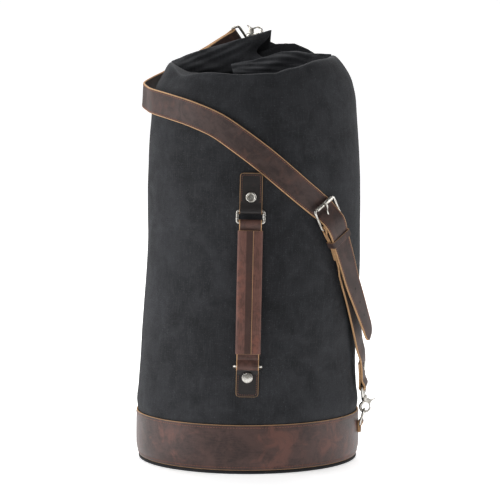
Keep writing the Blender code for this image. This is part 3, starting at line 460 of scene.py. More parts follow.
def slab(outline, low, high, bevel=0.0004, axis="Y", corner=0.0006):
    """A flat outline given thickness along an axis, with rounded corners and eased rims."""
    flat = softened(outline, corner)
    ahead = unit(np.roll(flat, -1, axis=0) - np.roll(flat, 1, axis=0))
    inwards = np.stack([-ahead[:, 1], ahead[:, 0]], axis=1)
    area = np.sum(flat[:, 0] * np.roll(flat[:, 1], -1) - np.roll(flat[:, 0], -1) * flat[:, 1])
    inwards = inwards * (1 if area > 0 else -1)
    turns = np.radians([90, 60, 30, 0])
    levels = [(bevel * (1 - math.cos(t)), bevel * (1 - math.sin(t))) for t in turns]
    rings = []
    for inset, depth in levels:
        rings.append((flat + inwards * inset, low + depth))
    for inset, depth in levels[::-1]:
        rings.append((flat + inwards * inset, high - depth))
    order = {"Y": lambda p, t: np.stack([p[:, 0], t + 0 * p[:, 0], p[:, 1]], axis=1),
             "Z": lambda p, t: np.stack([p[:, 0], p[:, 1], t + 0 * p[:, 0]], axis=1),
             "X": lambda p, t: np.stack([t + 0 * p[:, 0], p[:, 0], p[:, 1]], axis=1)}[axis]
    return skin(np.stack([order(p, t) for p, t in rings]))


def stitches(places, along, out, length, radius):
    """Rows of thread: each stitch is a low ellipsoid pressed halfway into the leather."""
    places, along, out = (np.asarray(v, float) for v in (places, along, out))
    aside = unit(np.cross(along, out))
    turns = np.arange(6) * math.pi / 3
    stations = np.radians([35, 90, 145])
    x = np.concatenate([[-1], np.repeat(-np.cos(stations), 6), [1]]) * length / 2
    r = np.concatenate([[0], np.repeat(np.sin(stations), 6), [0]]) * radius
    t = np.concatenate([[0], np.tile(turns, 3), [0]])
    points = (places[:, None] + x[None, :, None] * along[:, None]
              + (r * np.cos(t))[None, :, None] * aside[:, None]
              + (r * np.sin(t))[None, :, None] * out[:, None])
    k = np.arange(6)
    n = (k + 1) % 6
    triangles = np.concatenate([np.stack([0 * k, 1 + n, 1 + k], axis=1),
                                np.stack([19 + 0 * k, 13 + k, 13 + n], axis=1)])
    quads = np.concatenate([np.stack([1 + 6 * s + k, 1 + 6 * s + n,
                                      7 + 6 * s + n, 7 + 6 * s + k], axis=1)
                            for s in (0, 1)])
    shift = (np.arange(len(places)) * 20)[:, None, None]
    flat = points.reshape(-1, 3)
    quads, triangles = (quads + shift).reshape(-1, 4), (triangles + shift).reshape(-1, 3)
    return (flat, *outward(flat, quads, triangles), np.zeros_like(flat))


def stitch_row(path, out, pitch, length, radius):
    """Stitches laid end to end along a path."""
    done = walked(path)
    at = np.arange(pitch / 2, done[-1], pitch)
    pick = [np.stack([np.interp(at, done, field[:, i]) for i in range(3)], axis=1)
            for field in (path, out, unit(np.gradient(path, axis=0)))]
    return stitches(pick[0], unit(pick[2]), unit(pick[1]), length, radius)


def make(name, parts, body, slot, *nodes, sharp=38):
    """One object from (shape, material) pairs, riding on a body in place of some nodes."""
    shape = joined([part for part, _ in parts])
    mesh = bpy.data.meshes.new(name)
    faces = shape[1].tolist() + shape[2].tolist()
    mesh.from_pydata(shape[0].tolist(), [], faces)
    looks = []
    index = np.zeros(len(faces), int)
    first_quad, first_triangle = 0, len(shape[1])
    for part, look in parts:
        if look not in looks:
            looks.append(look)
            mesh.materials.append(look)
        index[first_quad:first_quad + len(part[1])] = looks.index(look)
        index[first_triangle:first_triangle + len(part[2])] = looks.index(look)
        first_quad += len(part[1])
        first_triangle += len(part[2])
    mesh.polygons.foreach_set("material_index", index)
    field = mesh.attributes.new("grain", "FLOAT_VECTOR", "POINT")
    field.data.foreach_set("vector", shape[3].astype(np.float32).ravel())
    mesh.shade_smooth()
    mesh.set_sharp_from_angle(angle=math.radians(sharp))
    made = bpy.data.objects.new(name, mesh)
    bpy.context.scene.collection.objects.link(made)
    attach(made, body)
    if nodes:
        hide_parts(*nodes)
    return made


# ---------------------------------------------------------------- materials

class Number:
    """A number in a material; arithmetic on it adds Math nodes."""

    def __init__(self, look, socket):
        self.look, self.socket = look, socket

    def __add__(self, other):
        return self.look.maths("ADD", self, other)

    def __radd__(self, other):
        return self.look.maths("ADD", other, self)

    def __sub__(self, other):
        return self.look.maths("SUBTRACT", self, other)

    def __rsub__(self, other):
        return self.look.maths("SUBTRACT", other, self)

    def __mul__(self, other):
        return self.look.maths("MULTIPLY", self, other)

    def __rmul__(self, other):
        return self.look.maths("MULTIPLY", other, self)

    def __pow__(self, other):
        return self.look.maths("POWER", self, other)

    def __abs__(self):
        return self.look.maths("ABSOLUTE", self, 0.0)


class Look:
    """A Principled material and the few ways in which this file adds nodes to it."""

    def __init__(self, name, fixed):
        self.material = bpy.data.materials.new(name)
        self.material.use_nodes = True
        self.tree = self.material.node_tree
        self.shader = self.tree.nodes["Principled BSDF"]
        for socket, value in fixed.items():
            self.shader.inputs[socket].default_value = value

    def node(self, kind, settings, sockets):
        """Adds a node: its settings first, then the values or links of its sockets."""
        made = self.tree.nodes.new("ShaderNode" + kind)
        for key, value in settings.items():
            setattr(made, key, value)
        for key, value in sockets.items():
            self.feed(made.inputs[key], value)
        return made

    def feed(self, socket, value):
        value = value.socket if isinstance(value, Number) else value
        if isinstance(value, bpy.types.NodeSocket):
            self.tree.links.new(value, socket)
        elif socket.type == "RGBA":
            socket.default_value = (*value, 1.0)
        else:
            socket.default_value = value

    def maths(self, operation, a, b):
        made = self.node("Math", {"operation": operation}, {0: a, 1: b})
        return Number(self, made.outputs[0])

    def place(self):
        return self.node("TexCoord", {}, {}).outputs["Object"]

    def grain(self):
        """The three numbers that a piece carries: along, across and edge."""
        field = self.node("Attribute", {"attribute_name": "grain"}, {}).outputs["Vector"]
        parts = self.node("SeparateXYZ", {}, {0: field})
        return [Number(self, parts.outputs[i]) for i in range(3)]

    def vector(self, x, y, z):
        return self.node("CombineXYZ", {}, {0: x, 1: y, 2: z}).outputs[0]

    def noise(self, where, scale, detail=3.0, rough=0.55, twist=0.0):
        made = self.node("TexNoise", {}, {"Vector": where, "Scale": scale, "Detail": detail,
                                          "Roughness": rough, "Distortion": twist})
        return Number(self, made.outputs[0])

    def cells(self, where, scale):
        made = self.node("TexVoronoi", {}, {"Vector": where, "Scale": scale})
        return Number(self, made.outputs["Distance"])

    def step(self, value, low, high):
        made = self.node("MapRange", {"interpolation_type": "SMOOTHSTEP"},
                         {"Value": value, "From Min": low, "From Max": high})
        return Number(self, made.outputs[0])

    def mix(self, share, a, b):
        made = self.node("Mix", {"data_type": "RGBA"}, {0: share, 6: a, 7: b})
        return made.outputs[2]

    def bump(self, height, depth, below=None):
        sockets = {"Height": height, "Distance": depth, "Strength": 1.0}
        if below is not None:
            sockets["Normal"] = below
        return self.node("Bump", {}, sockets).outputs[0]

    def out(self, **links):
        for name, value in links.items():
            self.feed(self.shader.inputs[name.replace("_", " ")], value)
        return self.material


def tinted(colour, factor, shift=(1, 1, 1)):
    """A colour made darker or lighter by a factor, and shifted by channel."""
    return tuple(c * factor * s for c, s in zip(colour, shift))


def canvas_look():
    """Waxed canvas: mottled wax, pale rubbed creases, upright slubs, pale flecks and a fine weave."""
    look = Look("waxed_canvas", {"Specular IOR Level": 0.16})
    base = tuple(colours().canvas)
    place = look.place()
    arc, height, rub = look.grain()
    broad = look.noise(place, 6.0, 3.0)
    mottle = look.noise(place, 30.0, 7.0, 0.66, 0.4)
    bloom = look.noise(place, 11.0, 5.0, 0.62, 0.8)
    crease = look.step(1 - abs(look.noise(place, 14.0, 4.0, 0.5, 0.7) * 2 - 1), 0.90, 1.0)
    slub = look.noise(look.vector(arc * 560, height * 36, 0.0), 1.0, 4.0, 0.65)
    pick = look.noise(look.vector(arc * 60, height * 700, 0.4), 1.0, 3.0, 0.6)
    fleck = look.noise(place, 620.0, 3.0, 0.65)
    wax = look.step(broad * 0.4 + mottle * 0.6, 0.36, 0.64)
    colour = look.mix(wax, tinted(base, 0.63), tinted(base, 1.16))
    colour = look.mix(look.step(bloom, 0.52, 0.72) * look.step(fleck, 0.36, 0.60) * 0.55, colour,
                      tinted(base, 2.1))
    colour = look.mix(look.step(slub, 0.46, 0.74) * 0.45, colour, tinted(base, 1.75))
    colour = look.mix(look.step(pick, 0.50, 0.74) * 0.25, colour, tinted(base, 1.7))
    colour = look.mix(look.step(fleck, 0.57, 0.71) * 0.55, colour, tinted(base, 3.0))
    colour = look.mix(crease * look.step(mottle, 0.40, 0.60) * 0.16, colour, tinted(base, 2.2))
    colour = look.mix(rub * 0.40, colour, tinted(base, 2.2))
    weave = look.maths("SINE", arc * 5712.0, 0.0) * look.maths("SINE", height * 5712.0, 0.0)
    normal = look.bump(weave, 0.00005)
    normal = look.bump(slub + pick * 0.7 + fleck * 0.5, 0.00014, normal)
    normal = look.bump(mottle, 0.0006, normal)
    return look.out(Base_Color=colour, Roughness=0.88 - mottle * 0.20, Normal=normal)


def leather_look(name, base, size, tones, gloss, scuffed, cut=1.0, panel=None):
    """Pull-up leather: oils marbled from tones[0] to full strength, patches pulled up to tones[1],
    pores, scuffs along the strip, and raw tan edges.  A panel is a strip painted darker: painted
    shade where a glossy face reflects the dark room, partly the pull-up leather's own darker tone."""
    look = Look(name, {"Specular IOR Level": 0.42})
    base = tuple(base)
    dark, warm = tones
    place = look.place()
    along, across, edge = look.grain()
    marble = look.noise(place, size, 7.0, 0.62, 1.5)
    patch = look.noise(place, size * 2.1, 6.0, 0.62, 0.9)
    cloud = look.noise(place, size * 0.4, 2.0)
    scuff = look.noise(look.vector(along * 24, across * 480, 0.3), 1.0, 5.0, 0.68, 0.6)
    streak = look.noise(look.vector(along * 60, across * 900, 0.9), 1.0, 3.0, 0.6)
    fibre = look.noise(place, 1300.0, 3.0)
    pores = look.cells(place, 1050.0)
    wrinkle = look.noise(place, 240.0, 5.0, 0.62, 0.8)
    colour = look.mix(look.step(marble * 0.7 + wrinkle * 0.3, 0.40, 0.60), tinted(base, dark),
                      tinted(base, 1.10))
    colour = look.mix(look.step(patch * 0.6 + cloud * 0.4, 0.50, 0.64) * 0.70, colour,
                      tinted(base, warm, (1.14, 0.90, 0.78)))
    colour = look.mix(look.step(streak, 0.40, 0.66) * scuffed, colour,
                      tinted(base, 1.7, (1.05, 0.98, 0.95)))
    colour = look.mix(look.step(scuff, 0.62, 0.76) * 0.40, colour, tinted(base, 2.6, (1, 1.0, 0.98)))
    colour = look.mix((1 - look.step(pores, 0.05, 0.32)) * 0.45, colour, tinted(base, 0.45))
    if panel is not None:
        # painted shade: the panel strip is darkened where a glossy face reflects the dark room, partly the
        # pull-up leather's own darker tone
        wear_and_shade = look.step(across, panel[0] - 0.0007, panel[0] + 0.0007) * (
            1 - look.step(across, panel[1] - 0.0004, panel[1] + 0.0002))
        colour = look.mix(wear_and_shade * 0.80, colour, tinted(base, 0.28))
    tan = tuple(colours().edge)
    raw = look.mix(look.step(fibre, 0.30, 0.70), tinted(tan, 0.72 * cut), tinted(tan, 1.12 * cut))
    colour = look.mix(edge, colour, raw)
    rough = (gloss + wrinkle * 0.20 + patch * 0.14 - 0.10) * (1 - edge) + edge * 0.8
    normal = look.bump(pores, 0.00006)
    normal = look.bump(wrinkle + scuff * 0.3, 0.00028, normal)
    return look.out(Base_Color=colour, Roughness=rough, Normal=normal)


def nickel_look():
    """Nickel plate with faint tarnish and hairline scratches."""
    look = Look("nickel", {"Metallic": 1.0})
    base = tuple(colours().nickel)
    place = look.place()
    tarnish = look.noise(place, 140.0, 4.0, 0.6, 0.6)
    hair = look.noise(place, 1600.0, 3.0, 0.7, 1.0)
    colour = look.mix(look.step(tarnish, 0.40, 0.72), base, tinted(base, 0.50, (1.05, 1.0, 0.92)))
    return look.out(Base_Color=colour, Roughness=0.16 + tarnish * 0.22,
                    Normal=look.bump(hair, 0.00003))


def thread_look(name, colour):
    """Twisted thread: fine slanted ridges."""
    look = Look(name, {"Roughness": 0.75})
    twist = look.noise(look.place(), 2600.0, 2.0)
    return look.out(Base_Color=look.mix(twist, tinted(colour, 0.6), tinted(colour, 1.3)),
                    Normal=look.bump(twist, 0.0001))


def cloth_look(name, colour, rough):
    """Plain dark cloth of the base with a coarse weave."""
    look = Look(name, {"Specular IOR Level": 0.25})
    place = look.place()
    weave = look.noise(place, 1400.0, 2.0, 0.6)
    blot = look.noise(place, 30.0, 4.0)
    return look.out(Base_Color=look.mix(blot, tinted(colour, 0.7), tinted(colour, 1.35)),
                    Roughness=rough - blot * 0.1, Normal=look.bump(weave, 0.0002))


def finish(name):
    """One of the bag's finishes, made when it is first asked for."""
    made = bpy.data.materials.get(name)
    if made is not None:
        return made
    tones = colours()
    makers = {
        "waxed_canvas": canvas_look,
        "band_hide": lambda: leather_look("band_hide", tones.band, 17.0, (0.42, 2.5), 0.36, 0.30),
        "strap_hide": lambda: leather_look("strap_hide", tones.strap, 26.0, (0.60, 1.6), 0.56, 0.12),
        "handle_hide": lambda: leather_look("handle_hide", tones.handle, 34.0, (0.50, 1.7), 0.38, 0.15),
        # the sleeve's panel is painted shade down the middle of its face, partly the leather's own darker
        # tone
        "sleeve_hide": lambda: leather_look("sleeve_hide", tinted(tones.handle, 1.45), 40.0,
                                            (0.66, 1.6), 0.44, 0.45, panel=SLEEVE_SHADE_STRIP),
        "tab_hide": lambda: leather_look("tab_hide", tones.chape, 42.0, (0.75, 1.6), 0.38, 0.10, 0.55),
        "nickel_plate": nickel_look,
        "dark_thread_and_hole_shade": lambda: thread_look("dark_thread_and_hole_shade", (0.020, 0.014, 0.012)),
        "brown_thread": lambda: thread_look("brown_thread", (0.230, 0.085, 0.052)),
        "black_thread": lambda: thread_look("black_thread", (0.012, 0.012, 0.013)),
        "black_cloth": lambda: cloth_look("black_cloth", (0.013, 0.013, 0.015), 0.80),
        "fibre_board": lambda: cloth_look("fibre_board", (0.090, 0.075, 0.058), 0.90),
    }
    return makers[name]()


# ---------------------------------------------------------------- frames of moving pieces

def axes(x, y, z, origin):
    """A frame as a 3 by 4 array: three directions and a place."""
    return np.stack([np.asarray(v, float) for v in (x, y, z, origin)], axis=1)


def snap_axes(prefix):
    """Hook frame of a snap: +Z to the eye, +X the gate's side; and the eye's own turned frame."""
    hook, gate, eye = (JOINTS[prefix + part] for part in ("_hook", "_gate", "_eye"))
    z, y = unit(hook["axis"]), unit(gate["axis"])
    bar = unit(eye["axis"])
    return axes(np.cross(y, z), y, z, hook["pos_m"]), axes(np.cross(bar, z), bar, z, hook["pos_m"])


def buckle_axes():
    """The buckle's frame, from its prong and roller."""
    heel, roller = JOINTS["prong"], JOINTS["roller"]
    x = unit(heel["axis"])
    y = unit(np.subtract(roller["pos_m"], heel["pos_m"]))
    return axes(x, y, np.cross(x, y), heel["pos_m"])


def handle_axes():
    """Frame of the handle with its origin on the top ring's bar."""
    x = -unit(JOINTS["top_ring"]["axis"])
    y = np.array([0.0, 1.0, 0.0])
    return axes(x, y, np.cross(x, y), JOINTS["top_ring"]["pos_m"])


# ---------------------------------------------------------------- canvas

def top_rings(turns):
    """The folded top's rings at every angle: four given places blended by squared cosines, with
    the front crest dipped beside the left peak and raised towards the right one."""
    share = np.stack([np.maximum(0, np.cos(turns))**2, np.maximum(0, np.sin(turns))**2,
                      np.maximum(0, -np.cos(turns))**2, np.maximum(0, -np.sin(turns))**2])
    rings = np.einsum("sa,rsk->rak", share, np.array(TOP_RINGS))
    degrees = np.degrees(turns)
    crest = (-0.0115 * bell(degrees, -54, 17) + 0.0075 * bell(degrees, 42, 24)
             - 0.0016 * bell(degrees, 13, 3.0) + 0.0012 * bell(degrees, 21, 5.0))
    rings[1, :, 1] += crest * 0.45
    rings[2, :, 1] += crest
    rings[3, :, 1] += crest
    rings[4, :, 1] += crest * 0.6
    return rings


def canvas_wall(sides=300, steps=120):
    """The canvas tube: a profile of radius and height at every angle, from the foot under the
    band to the hem of the mouth, creased inwards, and the same profile a wall's thickness in."""
    thick, depth = sizes().canvas, sizes().creases
    turns = np.radians(np.linspace(-180, 180, sides))
    low = np.array(FOOT + WALL[1:])
    keys = np.concatenate([np.repeat(low[:, None, ::-1], sides, axis=1), top_rings(turns)])
    mean = keys.mean(axis=1)
    knots = np.concatenate([[0], np.cumsum(np.linalg.norm(np.diff(mean, axis=0), axis=1))])
    shoulder = knots[len(low) - 1]
    at = np.concatenate([np.linspace(0, shoulder, steps // 2, endpoint=False),
                         np.linspace(shoulder, knots[-1], steps - steps // 2)])
    profile = through(knots, keys, at).transpose(1, 0, 2)              # angle, step, (r, z)
    radius = profile[..., 0]
    arc = turns[:, None] * 0.16 + 0 * radius
    up = at[None, :] + 0 * radius
    crease = crumple(arc, up, 3) * depth
    back = 0.25 + 0.75 * ease(-np.cos(turns), -0.3, 0.5)[:, None]
    gather = 0.0030 * back * ease(up, shoulder - 0.03, shoulder + 0.05) * (
        np.sin(turns * 9 + 0.7)[:, None] + 0.6 * np.sin(turns * 16 + 2.0)[:, None] - 1.0) / 2
    steps_out = unit(np.gradient(profile, axis=1))
    normal = np.stack([steps_out[..., 1], -steps_out[..., 0]], axis=-1)
    lap = 0.0026 * ease(turns, math.radians(176), math.radians(178.5))[:, None]
    outer = profile + normal * (gather - crease + lap)[..., None]
    inner = profile + normal * (gather - crease + lap - thick)[..., None]
    inner[..., 1] = np.maximum(inner[..., 1], 0.0052)
    loop = np.concatenate([outer, inner[:, ::-1]], axis=1)
    spread = turns + np.radians(2.2) * ease(turns, math.radians(170), math.radians(180))
    x = lean(loop[..., 1]) + loop[..., 0] * np.sin(spread)[:, None]
    y = -loop[..., 0] * np.cos(spread)[:, None]
    grid = np.stack([x, y, loop[..., 1]], axis=-1)
    rub = bell(at, knots[len(low) + 2], 0.004) * 0.8
    rub = np.concatenate([rub, rub[::-1]])[None, :] + 0 * loop[..., 0]
    # on the canvas this mask is wear alone: the paler rubbed rim and creases
    wear_and_shade = np.clip(rub + 0.5 * np.concatenate([crease, crease], axis=1) / depth, 0, 1)
    fields = np.stack([np.concatenate([arc, arc], axis=1), np.concatenate([up, up[:, ::-1]], axis=1),
                       wear_and_shade], axis=-1)
    seam = []
    for angle in (177.6, -178.9):
        column = int(np.argmin(abs(np.degrees(turns) - angle)))
        rows = slice(int(0.13 * steps), int(0.50 * steps))
        path = grid[column, rows]
        out = np.stack([np.sin(turns[column]) + 0 * path[:, 0], -np.cos(turns[column]) + 0 * path[:, 0],
                        0 * path[:, 0]], axis=1)
        seam.append(stitch_row(path, out, 0.0046, sizes().stitch, sizes().thread))
    return skin(grid, fields, ends="ladder"), joined(seam)


def sleeve_fold(line, crest, base, plane, thin, thick, free, lip, seed, steps=90, around=64):
    """A folded side of the mouth: a tall, flat tube that tapers from its foot to a crest.  `line`
    runs along it, `crest`, `base` and `plane` are its top, foot and middle plane on that line,
    and its free end is open and cut back by `lip` on the side that shows."""
    t = np.linspace(0, 1, steps)
    v = np.arange(around) * 2 * math.pi / around
    rise = np.sin(v / 2) ** 2
    side = -np.sign(np.sin(v)) * abs(np.sin(v)) ** 0.55
    start, stop = line
    ends = stop + free(rise, side)
    x = start + (ends[None, :] - start) * t[:, None]
    knots = np.array(crest)
    top = np.interp(x, *(knots[np.argsort(knots[:, 0])].T))
    foot = base + 0 * x
    half = thin + (thick - thin) * (1 - rise[None, :]) ** 0.8
    wrinkle = (0.0016 * np.sin(9 * rise[None, :] + 11 * t[:, None] + seed)
               + 0.0012 * np.sin(23 * rise[None, :] - 17 * t[:, None] + 2 * seed)
               ) * np.sin(math.pi * t[:, None])
    crease = crumple(x * 1.6, rise[None, :] * 0.12 + 0 * x, seed) * 0.0026
    y = plane[0] + (plane[1] - plane[0]) * t[:, None] + side[None, :] * (half + wrinkle - crease)
    z = foot + (top - foot) * rise[None, :] - crease * rise[None, :]
    outer = np.stack([x, y, z], axis=-1)
    wall = 0.0017
    curl = lip * ease(t, 0.86, 1.0)[:, None] * bell(rise, 0.62, 0.16)[None, :] * (side < 0)[None, :]
    outer[..., 1] += curl * 0.6
    middle = outer.mean(axis=1, keepdims=True)
    pull = unit(np.stack([0 * x, middle[..., 1] - y, (middle[..., 2] - z) * 0.25], axis=-1) + 1e-9)
    inner = outer + pull * wall
    inner[..., 0] = outer[..., 0] - 0.0004
    keep = steps // 2
    grid = np.concatenate([outer, inner[:keep:-1]], axis=0)
    rub = np.clip(bell(rise, 1.0, 0.02)[None, :] + ease(t, 0.985, 1.0)[:, None]
                  + crease / 0.0026 * 0.5, 0, 1)
    fields = np.stack([x, z, rub], axis=-1)
    return skin(grid, np.concatenate([fields, fields[:keep:-1]], axis=0))


def ply(outline, y, bow, thick, seed):
    """One layer of the gathered hem: an upright sheet between a foot line and a top line, bowed in
    plan by a slow wave and eased along its edges."""
    x0, x1, foot, top = outline
    x = np.linspace(x0, x1, 70)
    h = np.linspace(0, 1, 16)
    tops = np.interp(x, *np.array(top).T)
    feet = foot + 0 * x
    z = feet[:, None] + (tops - feet)[:, None] * h[None, :]
    sway = np.sin(x * 95 + seed) + 0.5 * np.sin(x * 210 + 2 * seed)
    wave = bow * sway[:, None] * (0.3 + h[None, :])
    crease = crumple(x[:, None] * 1.5 + 0 * z, z, seed) * 0.0012
    front = np.stack([x[:, None] + 0 * z, y + wave - thick / 2 - crease, z], axis=-1)
    rear = np.stack([x[:, None] + 0 * z, y + wave + thick / 2 - crease, z], axis=-1)
    loop = np.concatenate([front, rear[:, ::-1]], axis=1)
    rub = np.concatenate([ease(h, 0.90, 1.0), ease(h, 0.90, 1.0)[::-1]])[None, :] + 0 * loop[..., 0]
    fields = np.stack([loop[..., 0], loop[..., 2], rub], axis=-1)
    return skin(loop, fields, ends="ladder")


class BuildCanvas(bpy.types.Operator):
    """Build the creased canvas tube and its back seam"""
    bl_idname = "rope_bag.canvas"
    bl_label = "Canvas wall"

    def execute(self, context):
        wall, seam = canvas_wall()
        make("canvas_wall", [(wall, finish("waxed_canvas"))], "root", "canvas", "canvas_body", sharp=60)
        make("canvas_seam", [(seam, finish("black_thread"))], "root", "canvas")
        return {"FINISHED"}


class BuildMouth(bpy.types.Operator):
    """Build the folded sides of the mouth, the gathered hem, its eyelet and the closing ring"""
    bl_idname = "rope_bag.mouth"
    bl_label = "Folded mouth"

    def execute(self, context):
        canvas, nickel = finish("waxed_canvas"), finish("nickel_plate")
        left_crest = ((-0.118, 0.5870), (-0.1080, 0.5905), (-0.0900, 0.5980), (-0.0700, 0.6050),
                      (-0.0300, 0.6155), (0.0345, 0.6340), (0.0400, 0.6335))
        left = sleeve_fold((-0.112, 0.0360), left_crest, 0.566, (0.006, 0.022), 0.0036, 0.026,
                           lambda rise, side: np.where(side < 0, -0.0200 * bell(rise, 0.60, 0.20), 0)
                           - 0.0060 * (1 - rise), 0.010, 1)
        make("mouth_left_sleeve", [(left, canvas)], "root", "canvas", "mouth_fold_left", sharp=70)
        right_crest = ((-0.0300, 0.5840), (0.0100, 0.5915), (0.0340, 0.5985), (0.0500, 0.6030),
                       (0.0720, 0.6040), (0.0900, 0.6010), (0.1100, 0.6000), (0.1300, 0.5990))
        right = sleeve_fold((0.124, -0.0240), right_crest, 0.567, (0.000, -0.012), 0.0034, 0.021,
                            lambda rise, side: 0.0050 * (1 - rise), 0.004, 2)
        make("mouth_right_sleeve", [(right, canvas)], "root", "canvas", "mouth_fold_right", sharp=70)
        tops = (((-0.018, 0.602), (0.002, 0.6195), (0.026, 0.6195), (0.045, 0.6110), (0.072, 0.6120),
                 (0.098, 0.600)),
                ((-0.010, 0.600), (0.020, 0.6100), (0.046, 0.6130), (0.070, 0.6135), (0.090, 0.605),
                 (0.104, 0.596)),
                ((0.010, 0.598), (0.036, 0.6060), (0.056, 0.6140), (0.074, 0.6120), (0.100, 0.598)))
        layers = [((-0.018, 0.098, 0.580, tops[0]), 0.0420, 0.0, 0.0036),
                  ((-0.008, 0.104, 0.572, tops[1]), 0.0340, 0.0012, 0.0019),
                  ((0.012, 0.100, 0.572, tops[2]), 0.0290, 0.0014, 0.0019)]
        for number, (outline, y, bow, thick) in enumerate(layers):
            shape = ply(outline, y, bow, thick, number + 4)
            name = f"mouth_hem_{number + 1}"
            nodes = ("mouth_hem_back",) if number == 0 else ()
            make(name, [(shape, canvas)], "root", "canvas", *nodes, sharp=70)

        low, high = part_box("mouth_eyelet")
        middle = (np.array(low) + np.array(high)) / 2
        eyelet = softened(((0.0045, -0.0030), (0.0084, -0.0030), (0.0084, -0.0023), (0.0056, -0.0023),
                           (0.0056, 0.0023), (0.0084, 0.0023), (0.0084, 0.0030), (0.0045, 0.0030)), 0.0006)
        upright = axes((1, 0, 0), (0, 1, 0), (0, 0, 1), middle)
        make("eyelet", [(placed(spun(eyelet, axis="Y"), upright), nickel)], "root", "nickel",
             "mouth_eyelet")

        ring = JOINTS["closure_ring"]
        level = unit(ring["axis"])
        turns = np.arange(72) * math.pi / 36
        radius = 0.0095
        centre = np.array(ring["pos_m"]) + np.array([0, 0, radius])
        path = (centre + level * (radius * np.cos(turns))[:, None]
                + np.array([0, 0, 1]) * (radius * np.sin(turns))[:, None])
        make("closing_ring", [(wire(path, 0.0015, closed=True), nickel)], "closure_ring", "nickel",
             "closure_ring")
        return {"FINISHED"}


# ---------------------------------------------------------------- base and band

def piping(radius, height, wire_radius, sides=240):
    """A cord of cloth round the foot."""
    turns = np.arange(sides) * 2 * math.pi / sides
    path = np.stack([radius * np.sin(turns), -radius * np.cos(turns), height + 0 * turns], axis=1)
    return wire(path, wire_radius, closed=True, sides=14)


def base_disc():
    """Round base panel: flat below, with a shallow turned edge."""
    profile = softened(((0, 0.0002), (0.1545, 0.0), (0.1585, 0.0010), (0.1600, 0.0030), (0.1585, 0.0046),
                        (0, 0.0047)), 0.0012)
    return spun(profile, sides=160)


def band_radius(height):
    """The band stands straight, swells a little and is drawn in at its foot."""
    return (0.1630 + 0.0006 * bell(height, 0.036, 0.022) - 0.0042 * (1 - ease(height, 0.0, 0.026)) ** 1.5)


def band_strip(sides=420, steps=34):
    """The base band: one strip of leather bent round the foot, its ends lapped at the back.  Its
    section is a rounded rectangle that follows the foot's curve."""
    thick = sizes().band
    turns = np.radians(np.linspace(-179.0, 183.5, sides))
    lap = (thick + 2 * GAP) * ease(turns, math.radians(177.0), math.radians(180.5))
    low, high = 0.0056, 0.0722
    h = np.linspace(low + 0.0009, high - 0.0009, steps)
    arc = np.radians(np.linspace(0, 180, 9))
    top = np.stack([thick / 2 - thick / 2 * np.cos(arc), high - 0.0009 + 0.0009 * np.sin(arc)], axis=1)
    foot = np.stack([thick / 2 + thick / 2 * np.cos(arc), low + 0.0009 - 0.0009 * np.sin(arc)], axis=1)
    near, far = np.stack([0 * h, h], axis=1), np.stack([thick + 0 * h, h[::-1]], axis=1)
    section = np.concatenate([near, top[1:-1], far, foot[1:-1]])
    edge = np.concatenate([0 * h, np.ones(7), 0 * h, np.ones(7)])
    arcs = turns[:, None] * 0.165 + 0 * section[None, :, 0]
    rise = section[None, :, 1] + 0 * arcs
    dents = crumple(arcs * 0.8, rise, 8) * 0.0005
    radius = band_radius(rise) + section[None, :, 0] + lap[:, None] - dents
    grid = np.stack([radius * np.sin(turns)[:, None], -radius * np.cos(turns)[:, None], rise], axis=-1)
    fields = np.stack([arcs, rise, edge[None, :] + 0 * arcs], axis=-1)
    return skin(grid, fields)


def band_stitches():
    """Two rows: one under the band's top edge and one above its foot, and two down the lap."""
    pitch, length, radius = 0.0042, sizes().stitch, sizes().thread
    rows = []
    for height in (0.0682, 0.0102):
        turns = np.radians(np.linspace(-179, 177, 700))
        reach = band_radius(height) + sizes().band + 0.00005
        path = np.stack([reach * np.sin(turns), -reach * np.cos(turns), height + 0 * turns], axis=1)
        out = np.stack([np.sin(turns), -np.cos(turns), 0 * turns], axis=1)
        rows.append(stitch_row(path, out, pitch, length, radius))
    heights = np.linspace(0.012, 0.066, 40)
    for angle in (181.6, 182.8):
        turn = math.radians(angle)
        reach = band_radius(heights) + 2 * sizes().band + 2 * GAP + 0.00005
        path = np.stack([reach * math.sin(turn), -reach * math.cos(turn), heights], axis=1)
        out = np.tile([math.sin(turn), -math.cos(turn), 0.0], (40, 1))
        rows.append(stitch_row(path, out, pitch, length, radius))
    return joined(rows)


class BuildBase(bpy.types.Operator):
    """Build the base panel, its piped edge and the board inside"""
    bl_idname = "rope_bag.base"
    bl_label = "Base"

    def execute(self, context):
        cloth = finish("black_cloth")
        make("base_cloth_panel", [(base_disc(), cloth), (piping(0.1598, 0.0030, 0.0027), cloth)],
             "root", "base_cloth", "base_panel")
        low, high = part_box("base_board")
        reach = high.x
        rim = reach - 0.004
        board = softened(((0, low.z), (rim, low.z), (rim, high.z), (0, high.z)), 0.0008)
        make("base_board_round", [(spun(board, sides=160), finish("fibre_board"))], "root", "board",
             "base_board")
        return {"FINISHED"}


